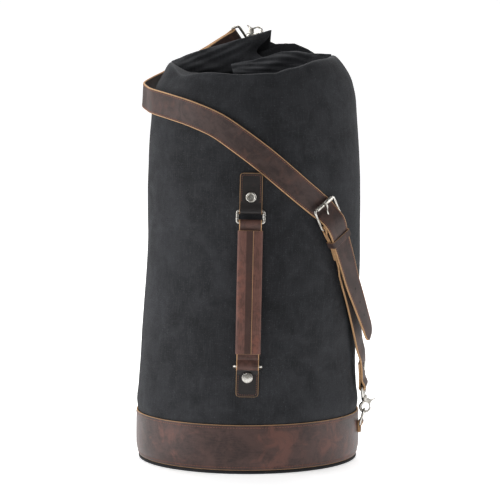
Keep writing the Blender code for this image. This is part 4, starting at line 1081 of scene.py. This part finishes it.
class BuildBand(bpy.types.Operator):
    """Build the leather band round the foot, its stitching, and the D-ring in its tab"""
    bl_idname = "rope_bag.band"
    bl_label = "Base band"

    def execute(self, context):
        leather, nickel = finish("band_hide"), finish("nickel_plate")
        make("band", [(band_strip(), leather)], "root", "band_leather", "base_band", sharp=60)
        make("band_stitching", [(band_stitches(), finish("brown_thread"))], "root", "band_leather")

        joint = JOINTS["d_ring"]
        side = unit(joint["axis"])
        out = np.array([side[1], -side[0], 0.0])
        bar = np.array(joint["pos_m"])
        tilt = math.radians(15)
        rise = out * math.sin(tilt) + np.array([0, 0, math.cos(tilt)])
        half, height = 0.0130, 0.0205
        turns = np.radians(np.linspace(6, 174, 40))
        arc = np.stack([half * np.cos(turns), height * np.sin(turns) ** 0.8], axis=1)
        foot = np.array([(-half * 0.97, 0.0008), (-half * 0.9, 0.0), (-half * 0.5, 0), (0, 0),
                         (half * 0.5, 0), (half * 0.9, 0.0), (half * 0.97, 0.0008)])
        outline = np.concatenate([arc, foot])
        path = bar + side * outline[:, :1] + rise * outline[:, 1:]
        make("d_ring_wire", [(wire(path, 0.0016, closed=True), nickel)], "d_ring", "nickel",
             "band_d_ring")

        thick = 0.0020
        wrap = 0.0016 + GAP + thick / 2
        profile = hairpin(wrap, -wrap, -wrap + thick + 0.0002, 0.008, 0.0150, 0.0150, 8, 8)
        centre = bar + out * profile[:, 1:] - np.array([0, 0, 1]) * profile[:, :1]
        width = 0.0180 - 2 * rounded_end(0.0150 - profile[:, 0], 0.002)
        tab = strip(centre, np.tile(side, (len(centre), 1)), width, thick, 0.0007)
        face = bar + out * (-wrap + 1.5 * thick + 0.00025)
        rows = []
        left, right, high, low, bar_row = -0.0068, 0.0068, -0.0075, -0.0138, -0.0084
        sewn = (((left, high), (left, low)), ((left, low), (right, low)),
                ((right, low), (right, high)), ((left, bar_row), (right, bar_row)))
        for start, stop in sewn:
            t = np.linspace(0, 1, 20)[:, None]
            flat = np.array(start) * (1 - t) + np.array(stop) * t
            line = face + side * flat[:, :1] + np.array([0, 0, 1]) * flat[:, 1:]
            rows.append(stitch_row(line, np.tile(out, (20, 1)), 0.0030, 0.0024, 0.0003))
        make("band_tab_leather", [(tab, leather), (joined(rows), finish("dark_thread_and_hole_shade"))], "root",
             "band_leather", "band_tab")
        return {"FINISHED"}


# ---------------------------------------------------------------- rivets

def rivet_shape(cap_radius, cap_out, reach, dished=False):
    """A cap towards -Y, either a dome or a rolled rim round a flat middle, its post and washer."""
    turns = np.linspace(0, 1, 14)
    dome = np.stack([cap_radius * np.sin(turns * math.pi / 2),
                     -cap_out - 0.0007 - 0.0013 * np.cos(turns * math.pi / 2)], axis=1)
    if dished:
        reach_out = np.linspace(0, 1, 26)
        roll = np.clip((reach_out - 0.56) / 0.44, 0, 1)
        dome = np.stack([cap_radius * reach_out,
                         -cap_out - 0.0007 - 0.0015 * np.sin(math.pi * roll) ** 0.6 * (roll < 1)
                         - 0.0003 * (1 - roll)], axis=1)
    rest = softened(((cap_radius, -cap_out - 0.0007), (cap_radius, -cap_out), (0.0018, -cap_out),
                     (0.0018, reach), (0.0050, reach), (0.0050, reach + 0.0012)), 0.0003)
    profile = np.concatenate([dome, rest, [(0, reach + 0.0012)]])
    return spun(profile, axis="Y")


# ---------------------------------------------------------------- grab handle

def border_stitches(corners, place, side, up, out, inset_radius=0.0003):
    """Stitches round an open outline of (across, up) corners on a flat face."""
    rows = []
    for start, stop in zip(corners[:-1], corners[1:]):
        t = np.linspace(0, 1, 24)[:, None]
        flat = np.array(start) * (1 - t) + np.array(stop) * t
        line = place + side * flat[:, :1] + up * flat[:, 1:]
        rows.append(stitch_row(line, np.tile(out, (24, 1)), 0.0031, 0.0025, inset_radius))
    return joined(rows)


def chape_shapes(end, home, bar):
    """A tab folded round a ring's bar, both layers lying on the canvas."""
    length, slope, taper = CHAPE[end][:3]
    sign = 1 if end == "top" else -1
    wrap = RING_WIRE + FOLD_SLACK + LEATHER / 2
    front = -wrap + LEATHER + 0.0002
    side = hairpin(wrap, -wrap, front, taper, length, length, 30, 30)
    gap = length - side[:, 0]
    outward_by = side[:, 1] + slope * side[:, 0]
    centre = np.stack([0 * outward_by, bar[1] - outward_by, bar[2] + sign * side[:, 0]], axis=1)
    width = CHAPE_WIDTH - 2 * rounded_end(gap, 0.005)
    shape = strip(centre, np.tile([1.0, 0, 0], (len(centre), 1)), width, LEATHER, 0.0007, 0.0001)
    inset = CHAPE_WIDTH / 2 - 0.0030
    face = bar[1] - front - LEATHER / 2 - 0.00004
    near, far = taper + 0.001, length - 0.0030
    corners = [(-inset, near), (-inset, far - 0.002), (-inset + 0.002, far), (inset - 0.002, far),
               (inset, far - 0.002), (inset, near)]
    up = unit(np.array([0, -slope, 1.0 * sign]))
    origin = np.array([0.0, face, bar[2]])
    rows = border_stitches(corners, origin, np.array([1.0, 0, 0]), up, np.array([0, -1.0, 0]))
    return placed(shape, home), placed(rows, home)


def ring_shape(home, bar, direction):
    """A rectangular ring lying from `bar` along `direction`."""
    flat = rounded_loop(RING_SPAN, RING_PITCH, 0.0030)
    middle = bar + direction * RING_PITCH / 2
    path = middle + flat[:, :1] * np.array([1.0, 0, 0]) + flat[:, 1:] * direction
    return placed(wire(path, RING_WIRE, closed=True), home)


def grip_line(home):
    """Upper and lower eyes of the grip in the handle's frame, and its downward and outward ways."""
    def local(point):
        return (np.asarray(point, float) - home[:, 3]) @ home[:, :3]
    top = local(JOINTS["grip"]["pos_m"])
    bar = local(JOINTS["bottom_ring"]["pos_m"])
    stand = np.array([0, -math.cos(RING_RISE), math.sin(RING_RISE)])
    bottom = bar + stand * RING_PITCH
    down = unit(bottom - top)
    return top, bottom, bar, stand, down, np.array([0, down[2], -down[1]])


def grip_shape(home):
    """The grip strap folded round both rings."""
    top, bottom, _, _, down, out = grip_line(home)
    length = float(np.linalg.norm(bottom - top))
    layer = LEATHER / 2 + 0.0002
    upper = hairpin(RING_WIRE + FOLD_SLACK + LEATHER / 2, -layer, layer, 0.0095, 0.090, 0.095, 10, 10)
    lower = hairpin(RING_WIRE + GRIP_SLACK + LEATHER / 2, layer, -layer, 0.0130, 0.095, 0.100, 10, 10)
    lower = np.stack([length - lower[:, 0], lower[:, 1]], axis=1)
    side = np.vstack([upper, lower])
    centre = top + down * side[:, :1] + out * side[:, 1:]
    shape = strip(centre, np.tile([1.0, 0, 0], (len(centre), 1)), GRIP_WIDTH, LEATHER, 0.0008)
    return placed(shape, home)


def sleeve_shapes(home):
    """The sleeve stitched round the grip: a flattened tube, x = w sign(cos v) |cos v|^.45 and
    y = h sign(sin v) |sin v|^.5, whose overlapping flap steps up on its face, and its stitches."""
    top, _, _, _, down, out = grip_line(home)
    start, stop = SLEEVE
    near_ends = [0.9984, 0.9992, 0.9997, 1]
    t = np.concatenate([[0, 0.0003, 0.0008, 0.0016], np.linspace(0.004, 0.996, 60), near_ends])
    round_in = 0.0007 * (1 - np.sqrt(1 - np.clip(1 - np.minimum(t, 1 - t) / 0.0035, 0, 1) ** 2))
    fine = SLEEVE_SEAM + np.linspace(-0.0010, 0.0010, 21)
    spots = np.concatenate([np.linspace(-0.0176, 0.0176, 60), fine])
    angles = np.arccos(np.sign(spots) * (abs(spots) / SLEEVE_HALF) ** (1 / 0.45))
    turns = np.unique(np.concatenate([np.arange(80) * 2 * math.pi / 80, angles, 2 * math.pi - angles]))
    c, s = np.cos(turns), np.sin(turns)
    face = s > 0.2
    x = SLEEVE_HALF * np.sign(c) * abs(c) ** 0.45
    step_up = SLEEVE_FLAP * ease(-x, -SLEEVE_SEAM - 0.0002, -SLEEVE_SEAM + 0.0002) * face
    y = SLEEVE_DEPTH / 2 * np.sign(s) * abs(s) ** 0.50 + step_up - 0.0003
    cut = np.where((abs(x - SLEEVE_SEAM) < 0.00035) & face, 1.0, 0.0)
    a = start + (stop - start) * t
    soft = 0.0004 * np.sin(a * 60)[:, None] + 0.0003 * np.sin(a * 143 + 1)[:, None]
    xs = x[None, :] * (1 - round_in[:, None] * 30)
    ys = y[None, :] * (1 - round_in[:, None] * 90) + soft * abs(s)[None, :]
    right = np.array([1.0, 0, 0])
    grid = top + down * a[:, None, None] + out * ys[..., None] + right * xs[..., None]
    ends = (t < 0.001) | (t > 0.999)
    edge = np.maximum(cut[None, :], ends[:, None] * 1.0) + 0 * xs
    body = skin(grid, np.stack([a[:, None] + 0 * xs, xs, edge], axis=-1))
    line = np.linspace(start + 0.003, stop - 0.003, 60)
    rows = []
    for aside, proud in ((SLEEVE_SEAM - 0.0028, 0.0051), (-0.0158, 0.0041)):
        path = top + down * line[:, None] + out * proud + right * aside
        rows.append(stitch_row(path, np.tile(out, (60, 1)), 0.0040, 0.0030, 0.00034))
    return placed(body, home), placed(joined(rows), home)


class BuildHandle(bpy.types.Operator):
    """Build the grab handle: two tabs, two rings, two rivets, the grip and its sleeve"""
    bl_idname = "rope_bag.handle"
    bl_label = "Grab handle"

    def execute(self, context):
        home = handle_axes()
        leather, dark, nickel = finish("handle_hide"), finish("tab_hide"), finish("nickel_plate")
        top, _, lower_bar, stand, _, _ = grip_line(home)
        bars = {"top": np.zeros(3), "bottom": lower_bar}
        for end, bar in bars.items():
            sign = 1 if end == "top" else -1
            tab, rows = chape_shapes(end, home, bar)
            make(f"handle_tab_{end}", [(tab, dark), (rows, finish("brown_thread"))], "root",
                 "chape_leather", f"handle_{end}_chape")
            _, _, _, height, cap, reach = CHAPE[end]
            at = axes((1, 0, 0), (0, 1, 0), (0, 0, 1), bar + np.array([0, -0.0003, sign * height]))
            shape = rivet_shape(0.0078, cap, reach, end == "top")
            make(f"handle_cap_{end}", [(placed(placed(shape, at), home), nickel)],
                 "root", "nickel", f"handle_{end}_rivet")
        make("handle_ring_top", [(ring_shape(home, bars["top"], unit(top)), nickel)],
             "top_ring", "nickel", "handle_top_ring")
        make("handle_ring_bottom", [(ring_shape(home, lower_bar, stand), nickel)],
             "bottom_ring", "nickel", "handle_bottom_ring")
        make("handle_grip", [(grip_shape(home), leather)], "grip", "handle_leather",
             "handle_grip_strap")
        sleeve, rows = sleeve_shapes(home)
        make("handle_sleeve_leather",
             [(sleeve, finish("sleeve_hide")), (rows, finish("dark_thread_and_hole_shade"))], "grip",
             "handle_leather", "handle_sleeve")
        return {"FINISHED"}


# ---------------------------------------------------------------- shoulder strap

def lower_path():
    """Middle line and facing of the short strap, from the base ring up to the buckle."""
    route = smooth_route([(*on_wall(a, z, off), *outwards(a)) for a, z, off in LOWER_ROUTE], 240)
    return route[:, :3], route[:, 3:]


def short_strap_shape():
    """The lower strap: folded round the heel bar and round the lower snap's eye."""
    path, facing = lower_path()
    length = walked(path)[-1]
    inner = STRAP_LIFT + STRAP / 2
    outer = inner + STRAP + GAP
    heel = inner + WRAP
    top = hairpin(WRAP, -WRAP, outer - heel, 0.011, 0.055, 0.060, 20, 20)
    top[:, 1] += heel
    run = np.array([(0.066, outer - 0.0004), (0.070, outer - 0.0012), (0.075, inner + 0.0012),
                    (0.080, inner)]
                   + [(a, inner) for a in np.linspace(0.085, length - 0.066, 40)]
                   + [(length - 0.062, inner + 0.0003), (length - 0.058, inner + 0.0010),
                      (length - 0.053, outer - 0.0012), (length - 0.048, outer - 0.0003)])
    low = hairpin(WRAP + 0.0002, -WRAP - 0.0002, outer - heel, 0.012, 0.042, 0.040, 14, 14)[::-1]
    low = np.stack([length - low[:, 0], low[:, 1] + heel + 0.0002], axis=1)
    side = np.vstack([top, run, low])
    centre, across = lay(path, facing, side)
    return strip(centre, across, STRAP_WIDTH, STRAP), heel


def long_path(heel):
    """Middle line and facing of the long strap, from the mouth over the shoulder to the tongue."""
    over_heel = heel + WRAP + STRAP + 2 * GAP + 0.0008
    over_strap = STRAP_LIFT + 2.5 * STRAP + 2 * GAP + 0.0007
    climb = ((ROLLER_ANGLE - 1.0, ROLLER_HEIGHT - 0.0030, 0.0019), (38.3, 0.3815, 0.0028),
             (40.2, 0.3740, 0.0078), (BUCKLE_ANGLE, BUCKLE_HEIGHT, over_heel),
             (44.9, 0.3515, over_heel - 0.0009))
    points = [(*place, *way) for place, way in SHOULDER_ROUTE]
    points += [(*on_wall(a, z, off), *outwards(a)) for a, z, off in FRONT_ROUTE + climb]
    points += [(*on_wall(a, z, over_strap + off), *outwards(a)) for a, z, off in TONGUE_ROUTE]
    route = smooth_route(points, 600)
    return route[:, :3], route[:, 3:]


def long_strap_shape(heel):
    """The upper strap: round the top snap's eye, over the shoulder, down the front, under the
    roller and over the heel bar to the rounded tip."""
    path, facing = long_path(heel)
    length = walked(path)[-1]
    fold = hairpin(WRAP, -STRAP - GAP, 0, 0.012, 0.050, 0.014, 20, 2)
    tip = length - 0.014 * (1 - np.sin(np.linspace(0, math.pi / 2, 24)))
    run = np.concatenate([np.linspace(0.016, length - 0.015, 420), tip])
    side = np.vstack([fold, np.stack([run, 0 * run], axis=1)])
    centre, across = lay(path, facing, side)
    to_end = np.where(np.arange(len(side)) > len(fold), length - side[:, 0], 1)
    width = STRAP_WIDTH - 2 * rounded_end(to_end, 0.013)
    return strip(centre, across, width, STRAP)


def strap_stitches(heel):
    """A row of stitches inside each edge of the long strap's face."""
    path, facing = long_path(heel)
    done = walked(path)
    across, out = strip_frames(path, facing)
    rows = []
    for side in (-1, 1):
        keep = (done > 0.055) & (done < done[-1] - 0.016)
        line = path + out * (STRAP / 2) + across * (side * (STRAP_WIDTH / 2 - 0.0031))
        rows.append(stitch_row(line[keep], out[keep], 0.0040, sizes().stitch, 0.00052))
    return joined(rows)


def prong_holes(heel):
    """Adjusting holes punched in the tongue, drawn as dark discs: painted shade standing in for the
    shadowed hollow of each hole.
    """
    path, facing = long_path(heel)
    done = walked(path)
    across, out = strip_frames(path, facing)
    shapes = []
    for behind in (0.040, 0.065, 0.090):
        at = int(np.argmin(abs(done - (done[-1] - behind))))
        x, z = across[at], out[at]
        hole = axes(x, np.cross(z, x), z, path[at])
        profile = softened(((0.0, -STRAP / 2 - 0.00012), (0.0021, -STRAP / 2 - 0.00012),
                            (0.0021, STRAP / 2 + 0.00012), (0.0, STRAP / 2 + 0.00012)), 0.0001)
        shapes.append(placed(spun(profile, sides=24), hole))
    return joined(shapes)


def keeper_shape():
    """A leather loop round the strap: a rounded rectangle swept by a thin band."""
    joint = JOINTS["keeper"]
    along = unit(joint["axis"])
    path, facing = lower_path()
    at = int(np.argmin(np.linalg.norm(path - np.array(joint["pos_m"]), axis=1)))
    across, out = strip_frames(path, facing)
    home = axes(across[at], out[at], along, joint["pos_m"])
    thick, wide = 0.0014, 0.0095
    low, high = STRAP_LIFT - 0.0007, STRAP_LIFT + 3 * STRAP + 3 * GAP + 0.0018
    half = (STRAP_WIDTH + 0.0016) / 2 + thick / 2
    loop = rounded_loop(2 * half, high - low + thick, 0.0020, steps=7)
    fine = np.concatenate([loop, loop[:1]])
    done = walked(np.concatenate([fine, 0 * fine[:, :1]], axis=1))
    even = np.linspace(0, done[-1], 180, endpoint=False)
    loop = np.stack([np.interp(even, done, fine[:, 0]), np.interp(even, done, fine[:, 1])], axis=1)
    centre = np.stack([loop[:, 0], loop[:, 1] + (low + high) / 2, 0 * loop[:, 0]], axis=1)
    ahead = unit(np.roll(centre, -1, axis=0) - np.roll(centre, 1, axis=0))
    outer = np.stack([ahead[:, 1], -ahead[:, 0], 0 * ahead[:, 0]], axis=1)
    w = wide / 2
    section = softened(((w, -thick / 2), (w, thick / 2), (-w, thick / 2), (-w, -thick / 2)), 0.0005, 5)
    grid = (centre[:, None] + outer[:, None] * section[None, :, 1:]
            + np.array([0, 0, 1.0]) * section[None, :, :1])
    edge = (abs(section[:, 0]) > w - 0.00025) * 1.0
    fields = np.stack([even[:, None] + 0 * edge[None], section[None, :, 0] + 0 * even[:, None],
                       edge[None] + 0 * even[:, None]], axis=-1)
    return placed(skin(grid, fields, along=True), home)


def strap_rivet_axes(path, facing, distance, face):
    """Frame of a rivet at a distance along a strap, its cap on one face."""
    done = walked(path)
    at = int(np.argmin(abs(done - distance)))
    across, out = strip_frames(path, facing)
    side, up = across[at], out[at] * face
    return axes(side, -up, -np.cross(side, up), path[at])


class BuildStraps(bpy.types.Operator):
    """Build the long and the short strap, the sliding loop and the two strap rivets"""
    bl_idname = "rope_bag.straps"
    bl_label = "Shoulder strap"

    def execute(self, context):
        leather, nickel = finish("strap_hide"), finish("nickel_plate")
        short, heel = short_strap_shape()
        make("strap_short", [(short, leather)], "root", "strap_leather", "shoulder_strap_short")
        make("strap_long",
             # the holes' dark discs are painted shade, sharing the dark thread's material
             [(long_strap_shape(heel), leather), (prong_holes(heel), finish("dark_thread_and_hole_shade")),
              (strap_stitches(heel), finish("brown_thread"))],
             "root", "strap_leather", "shoulder_strap_long")
        make("strap_loop", [(keeper_shape(), leather)], "keeper", "strap_leather", "strap_keeper")
        path, facing = lower_path()
        low = strap_rivet_axes(path, facing, walked(path)[-1] - 0.0295, 1)
        make("strap_cap_lower", [(placed(rivet_shape(0.0070, 0.0086, -0.0021), low), nickel)],
             "root", "nickel", "strap_rivet_lower")
        path, facing = long_path(heel)
        high = strap_rivet_axes(path, facing, 0.022, -1)
        make("strap_cap_top", [(placed(rivet_shape(0.0070, 0.0060, 0.0024), high), nickel)],
             "root", "nickel", "strap_rivet_top")
        return {"FINISHED"}


# ---------------------------------------------------------------- buckle

class BuildBuckle(bpy.types.Operator):
    """Build the roller buckle: frame, roller and prong"""
    bl_idname = "rope_bag.buckle"
    bl_label = "Buckle"

    def execute(self, context):
        nickel, home = finish("nickel_plate"), buckle_axes()
        pitch = float(np.linalg.norm(np.subtract(JOINTS["roller"]["pos_m"], JOINTS["prong"]["pos_m"])))
        flat = rounded_loop(0.0425, pitch, 0.0035)
        path = np.stack([flat[:, 0], flat[:, 1] + pitch / 2, 0 * flat[:, 0]], axis=1)
        make("buckle_wire", [(placed(wire(path, BAR, closed=True), home), nickel)], "root", "nickel",
             "buckle_frame")
        half = 0.0425 / 2 - 0.0046
        profile = softened(((BAR + 0.0002, -half), (ROLLER, -half), (ROLLER, half), (BAR + 0.0002, half)),
                           0.0006, 5)
        roller = spun(profile, axis="X")
        at = axes((1, 0, 0), (0, 1, 0), (0, 0, 1), (0, pitch, 0))
        make("buckle_roll", [(placed(placed(roller, at), home), nickel)], "roller", "nickel",
             "buckle_roller")
        width = 0.0017
        knuckle = spun(softened(((BAR + 0.0002, -width), (BAR + 0.0017, -width), (BAR + 0.0017, width),
                                 (BAR + 0.0002, width)), 0.0004), axis="X")
        rest = ROLLER + 0.0017
        line = np.array([(0.0022, 0.0012), (0.008, 0.0008), (0.016, 0.0002),
                         (pitch - 0.0115, 0.0008), (pitch - 0.006, rest - 0.0016),
                         (pitch - 0.002, rest + 0.0002), (pitch + 0.0020, rest - 0.0003),
                         (pitch + 0.0038, rest - 0.0016)])
        even = np.linspace(0, 1, 30)
        knots = np.linspace(0, 1, len(line))
        curve = through(knots, line, even)
        path = np.stack([0 * even, curve[:, 0], curve[:, 1]], axis=1)
        finger = wire(path, 0.00175 - 0.0003 * even, sides=18)
        make("buckle_tongue", [(placed(knuckle, home), nickel), (placed(finger, home), nickel)],
             "prong", "nickel", "buckle_prong")
        return {"FINISHED"}


# ---------------------------------------------------------------- snaps

def snap_shapes(prefix):
    """A trigger snap: the eye with its post; the cup, shank, bill and ears; the gate; its pin."""
    hook_home, eye_home = snap_axes(prefix)
    wire_radius, loop, bar, pitch = 0.0020, 0.0072, 0.0340, 0.0130
    flat = rounded_loop(0.0425, pitch, 0.0034)
    path = np.stack([0 * flat[:, 0], flat[:, 0], bar - pitch / 2 + flat[:, 1]], axis=1)
    post = softened(((0, 0.0125), (0.0026, 0.0125), (0.0026, 0.0145), (0.0015, 0.0157),
                     (0.0015, 0.0190), (0.0022, 0.0206), (0, 0.0214)), 0.0004)
    eye = joined([placed(wire(path, wire_radius, closed=True), eye_home), placed(spun(post), eye_home)])

    cup = softened(((0, 0.0093), (0.0030, 0.0093), (0.0044, 0.0108), (0.0046, 0.0140), (0.0044, 0.0168),
                    (0.0034, 0.0186), (0.0021, 0.0186), (0.0021, 0.0166), (0.0031, 0.0158),
                    (0.0031, 0.0118), (0, 0.0118)), 0.0006)
    turns = np.radians(np.linspace(112, 342, 60))
    bend = np.stack([loop * np.cos(turns), 0 * turns, loop * np.sin(turns)], axis=1)
    bend = np.vstack([[(-0.0006, 0, 0.0098)], bend])
    share = np.linspace(0, 1, len(bend))
    thickness = wire_radius * (1.12 - 0.30 * ease(share, 0.55, 1.0))
    px, pz = 0.0066, 0.0088
    ear = ((-0.0030, 0.0112), (-0.0030, 0.0086), (px - 0.0012, pz - 0.0026), (px + 0.0020, pz - 0.0022),
           (px + 0.0028, pz), (px + 0.0022, pz + 0.0020), (px - 0.0006, pz + 0.0040))
    ears = [slab(ear, *span, bevel=0.0003, corner=0.0012)
            for span in ((-0.0031, -0.0016), (0.0016, 0.0031))]
    web = slab(((-0.0030, 0.0112), (-0.0030, 0.0086), (px - 0.0030, pz - 0.0018),
                (px - 0.0022, pz + 0.0030)), -0.0022, 0.0022, bevel=0.0003)
    hook = joined([placed(part, hook_home) for part in
                   [spun(cup), wire(bend, thickness), web] + ears])
    lever = ((px - 0.0014, pz + 0.0006), (px - 0.0014, pz - 0.0030), (0.0058, 0.0030), (0.0058, -0.0008),
             (0.0082, -0.0008), (0.0086, 0.0040), (px + 0.0022, pz - 0.0014), (px + 0.0034, pz - 0.0004),
             (px + 0.0092, pz + 0.0026), (px + 0.0098, pz + 0.0044), (px + 0.0030, pz + 0.0024),
             (px + 0.0010, pz + 0.0024))
    gate = placed(slab(lever, -0.0013, 0.0013, bevel=0.0004, corner=0.0010), hook_home)
    at = axes((1, 0, 0), (0, 1, 0), (0, 0, 1), (px, 0, pz))
    pin = spun(softened(((0, -0.0037), (0.0009, -0.0037), (0.0009, 0.0037), (0, 0.0037)), 0.0003),
               sides=24, axis="Y")
    return eye, joined([hook, placed(placed(pin, at), hook_home)]), gate


class BuildSnaps(bpy.types.Operator):
    """Build the two trigger snaps"""
    bl_idname = "rope_bag.snaps"
    bl_label = "Trigger snaps"

    def execute(self, context):
        nickel = finish("nickel_plate")
        for prefix in ("lower", "top"):
            eye, hook, gate = snap_shapes(prefix)
            make(f"{prefix}_eye_wire", [(eye, nickel)], f"{prefix}_eye", "nickel", f"{prefix}_snap_eye")
            make(f"{prefix}_hook_body", [(hook, nickel)], f"{prefix}_hook", "nickel",
                 f"{prefix}_snap_hook", f"{prefix}_snap_gate_pin")
            make(f"{prefix}_gate_lever", [(gate, nickel)], f"{prefix}_gate", "nickel",
                 f"{prefix}_snap_gate")
        return {"FINISHED"}


# ---------------------------------------------------------------- stage

def area_light(name, place, target, size, power, colour=(1, 1, 1)):
    """A softbox aimed at a point."""
    lamp = bpy.data.lights.new(name, "AREA")
    lamp.shape = "RECTANGLE"
    lamp.size, lamp.size_y = size
    lamp.energy = power
    lamp.color = colour
    made = bpy.data.objects.new(name, lamp)
    made.location = place
    made.rotation_euler = (Vector(target) - Vector(place)).to_track_quat("-Z", "Y").to_euler()
    bpy.context.scene.collection.objects.link(made)
    return made


class BuildStage(bpy.types.Operator):
    """Build the pale floor with its curved backdrop, the lights and the camera"""
    bl_idname = "rope_bag.stage"
    bl_label = "Stage"

    def execute(self, context):
        turns = np.radians(np.linspace(-90, 0, 24))
        bend = 1.5
        curve = np.stack([5.0 + bend * np.cos(turns), bend + bend * np.sin(turns)], axis=1)
        line = np.concatenate([[(-1.1, 0.0)], curve, [(5.0 + bend, 7.0)]])
        x = np.array([-4.0, 4.0])
        grid = np.stack([x[None, :] + 0 * line[:, :1], line[:, :1] + 0 * x[None, :],
                         line[:, 1:] + 0 * x[None, :]], axis=-1)
        mesh = bpy.data.meshes.new("floor")
        quads = quads_of(*grid.shape[:2], False, False)
        mesh.from_pydata(grid.reshape(-1, 3).tolist(), [], quads.tolist())
        mesh.shade_smooth()
        pale = Look("pale_floor", {"Base Color": (0.90, 0.90, 0.90, 1), "Roughness": 0.9,
                                   "Specular IOR Level": 0.1, "Emission Color": (1, 1, 1, 1),
                                   "Emission Strength": 0.53})
        mesh.materials.append(pale.material)
        floor = bpy.data.objects.new("floor", mesh)
        context.scene.collection.objects.link(floor)
        aim = (0, 0, 0.32)
        lights = [area_light("left_softbox", (-2.3, -0.55, 0.95), aim, (1.1, 1.9), 30),
                  area_light("right_softbox", (2.3, -0.35, 0.95), aim, (0.7, 1.7), 13),
                  area_light("front_fill", (-1.3, -3.2, 1.9), aim, (0.9, 0.9), 16),
                  area_light("floor_softbox", (0.0, 1.6, 2.6), (0.0, 1.3, 0.0), (3.0, 2.2), 95)]

        world = bpy.data.worlds.new("studio")
        world.use_nodes = True
        world.node_tree.nodes["Background"].inputs["Color"].default_value = (1, 1, 1, 1)
        world.node_tree.nodes["Background"].inputs["Strength"].default_value = 0.20
        context.scene.world = world

        lens = bpy.data.cameras.new("camera")
        lens.sensor_width = 36.0
        lens.lens = 219.5
        camera = bpy.data.objects.new("camera", lens)
        camera.location = (0.004, -4.5, 0.79)
        aim = Vector((0.004, 0, 0.3085))
        camera.rotation_euler = (aim - camera.location).to_track_quat("-Z", "Y").to_euler()
        context.scene.collection.objects.link(camera)
        context.scene.camera = camera
        context.scene.view_settings.view_transform = "Standard"
        return {"FINISHED"}


# ---------------------------------------------------------------- panel and running

OPERATORS = (BuildCanvas, BuildMouth, BuildBase, BuildBand, BuildHandle, BuildStraps, BuildBuckle,
             BuildSnaps, BuildStage)


class RopeBagPanel(bpy.types.Panel):
    """Sizes, colours and the steps that build the bag"""
    bl_idname = "VIEW3D_PT_rope_bag"
    bl_label = "Rope bag"
    bl_space_type = "VIEW_3D"
    bl_region_type = "UI"
    bl_category = "Rope bag"

    def draw(self, context):
        for group in (context.scene.rope_bag_sizes, context.scene.rope_bag_colours):
            for name in group.__annotations__:
                self.layout.prop(group, name)
        for step in OPERATORS:
            self.layout.operator(step.bl_idname)


CLASSES = (RopeBagSizes, RopeBagColours) + OPERATORS + (RopeBagPanel,)


def register():
    """Adds the groups, the operators and the panel."""
    for made in CLASSES:
        bpy.utils.register_class(made)
    bpy.types.Scene.rope_bag_sizes = bpy.props.PointerProperty(type=RopeBagSizes)
    bpy.types.Scene.rope_bag_colours = bpy.props.PointerProperty(type=RopeBagColours)


def unregister():
    """Takes them away again."""
    del bpy.types.Scene.rope_bag_colours
    del bpy.types.Scene.rope_bag_sizes
    for made in reversed(CLASSES):
        bpy.utils.unregister_class(made)


def main():
    """Builds the whole bag and its stage."""
    register()
    for step in OPERATORS:
        group, name = step.bl_idname.split(".")
        getattr(getattr(bpy.ops, group), name)()
    bpy.context.view_layer.update()


if __name__ == "__main__":
    main()
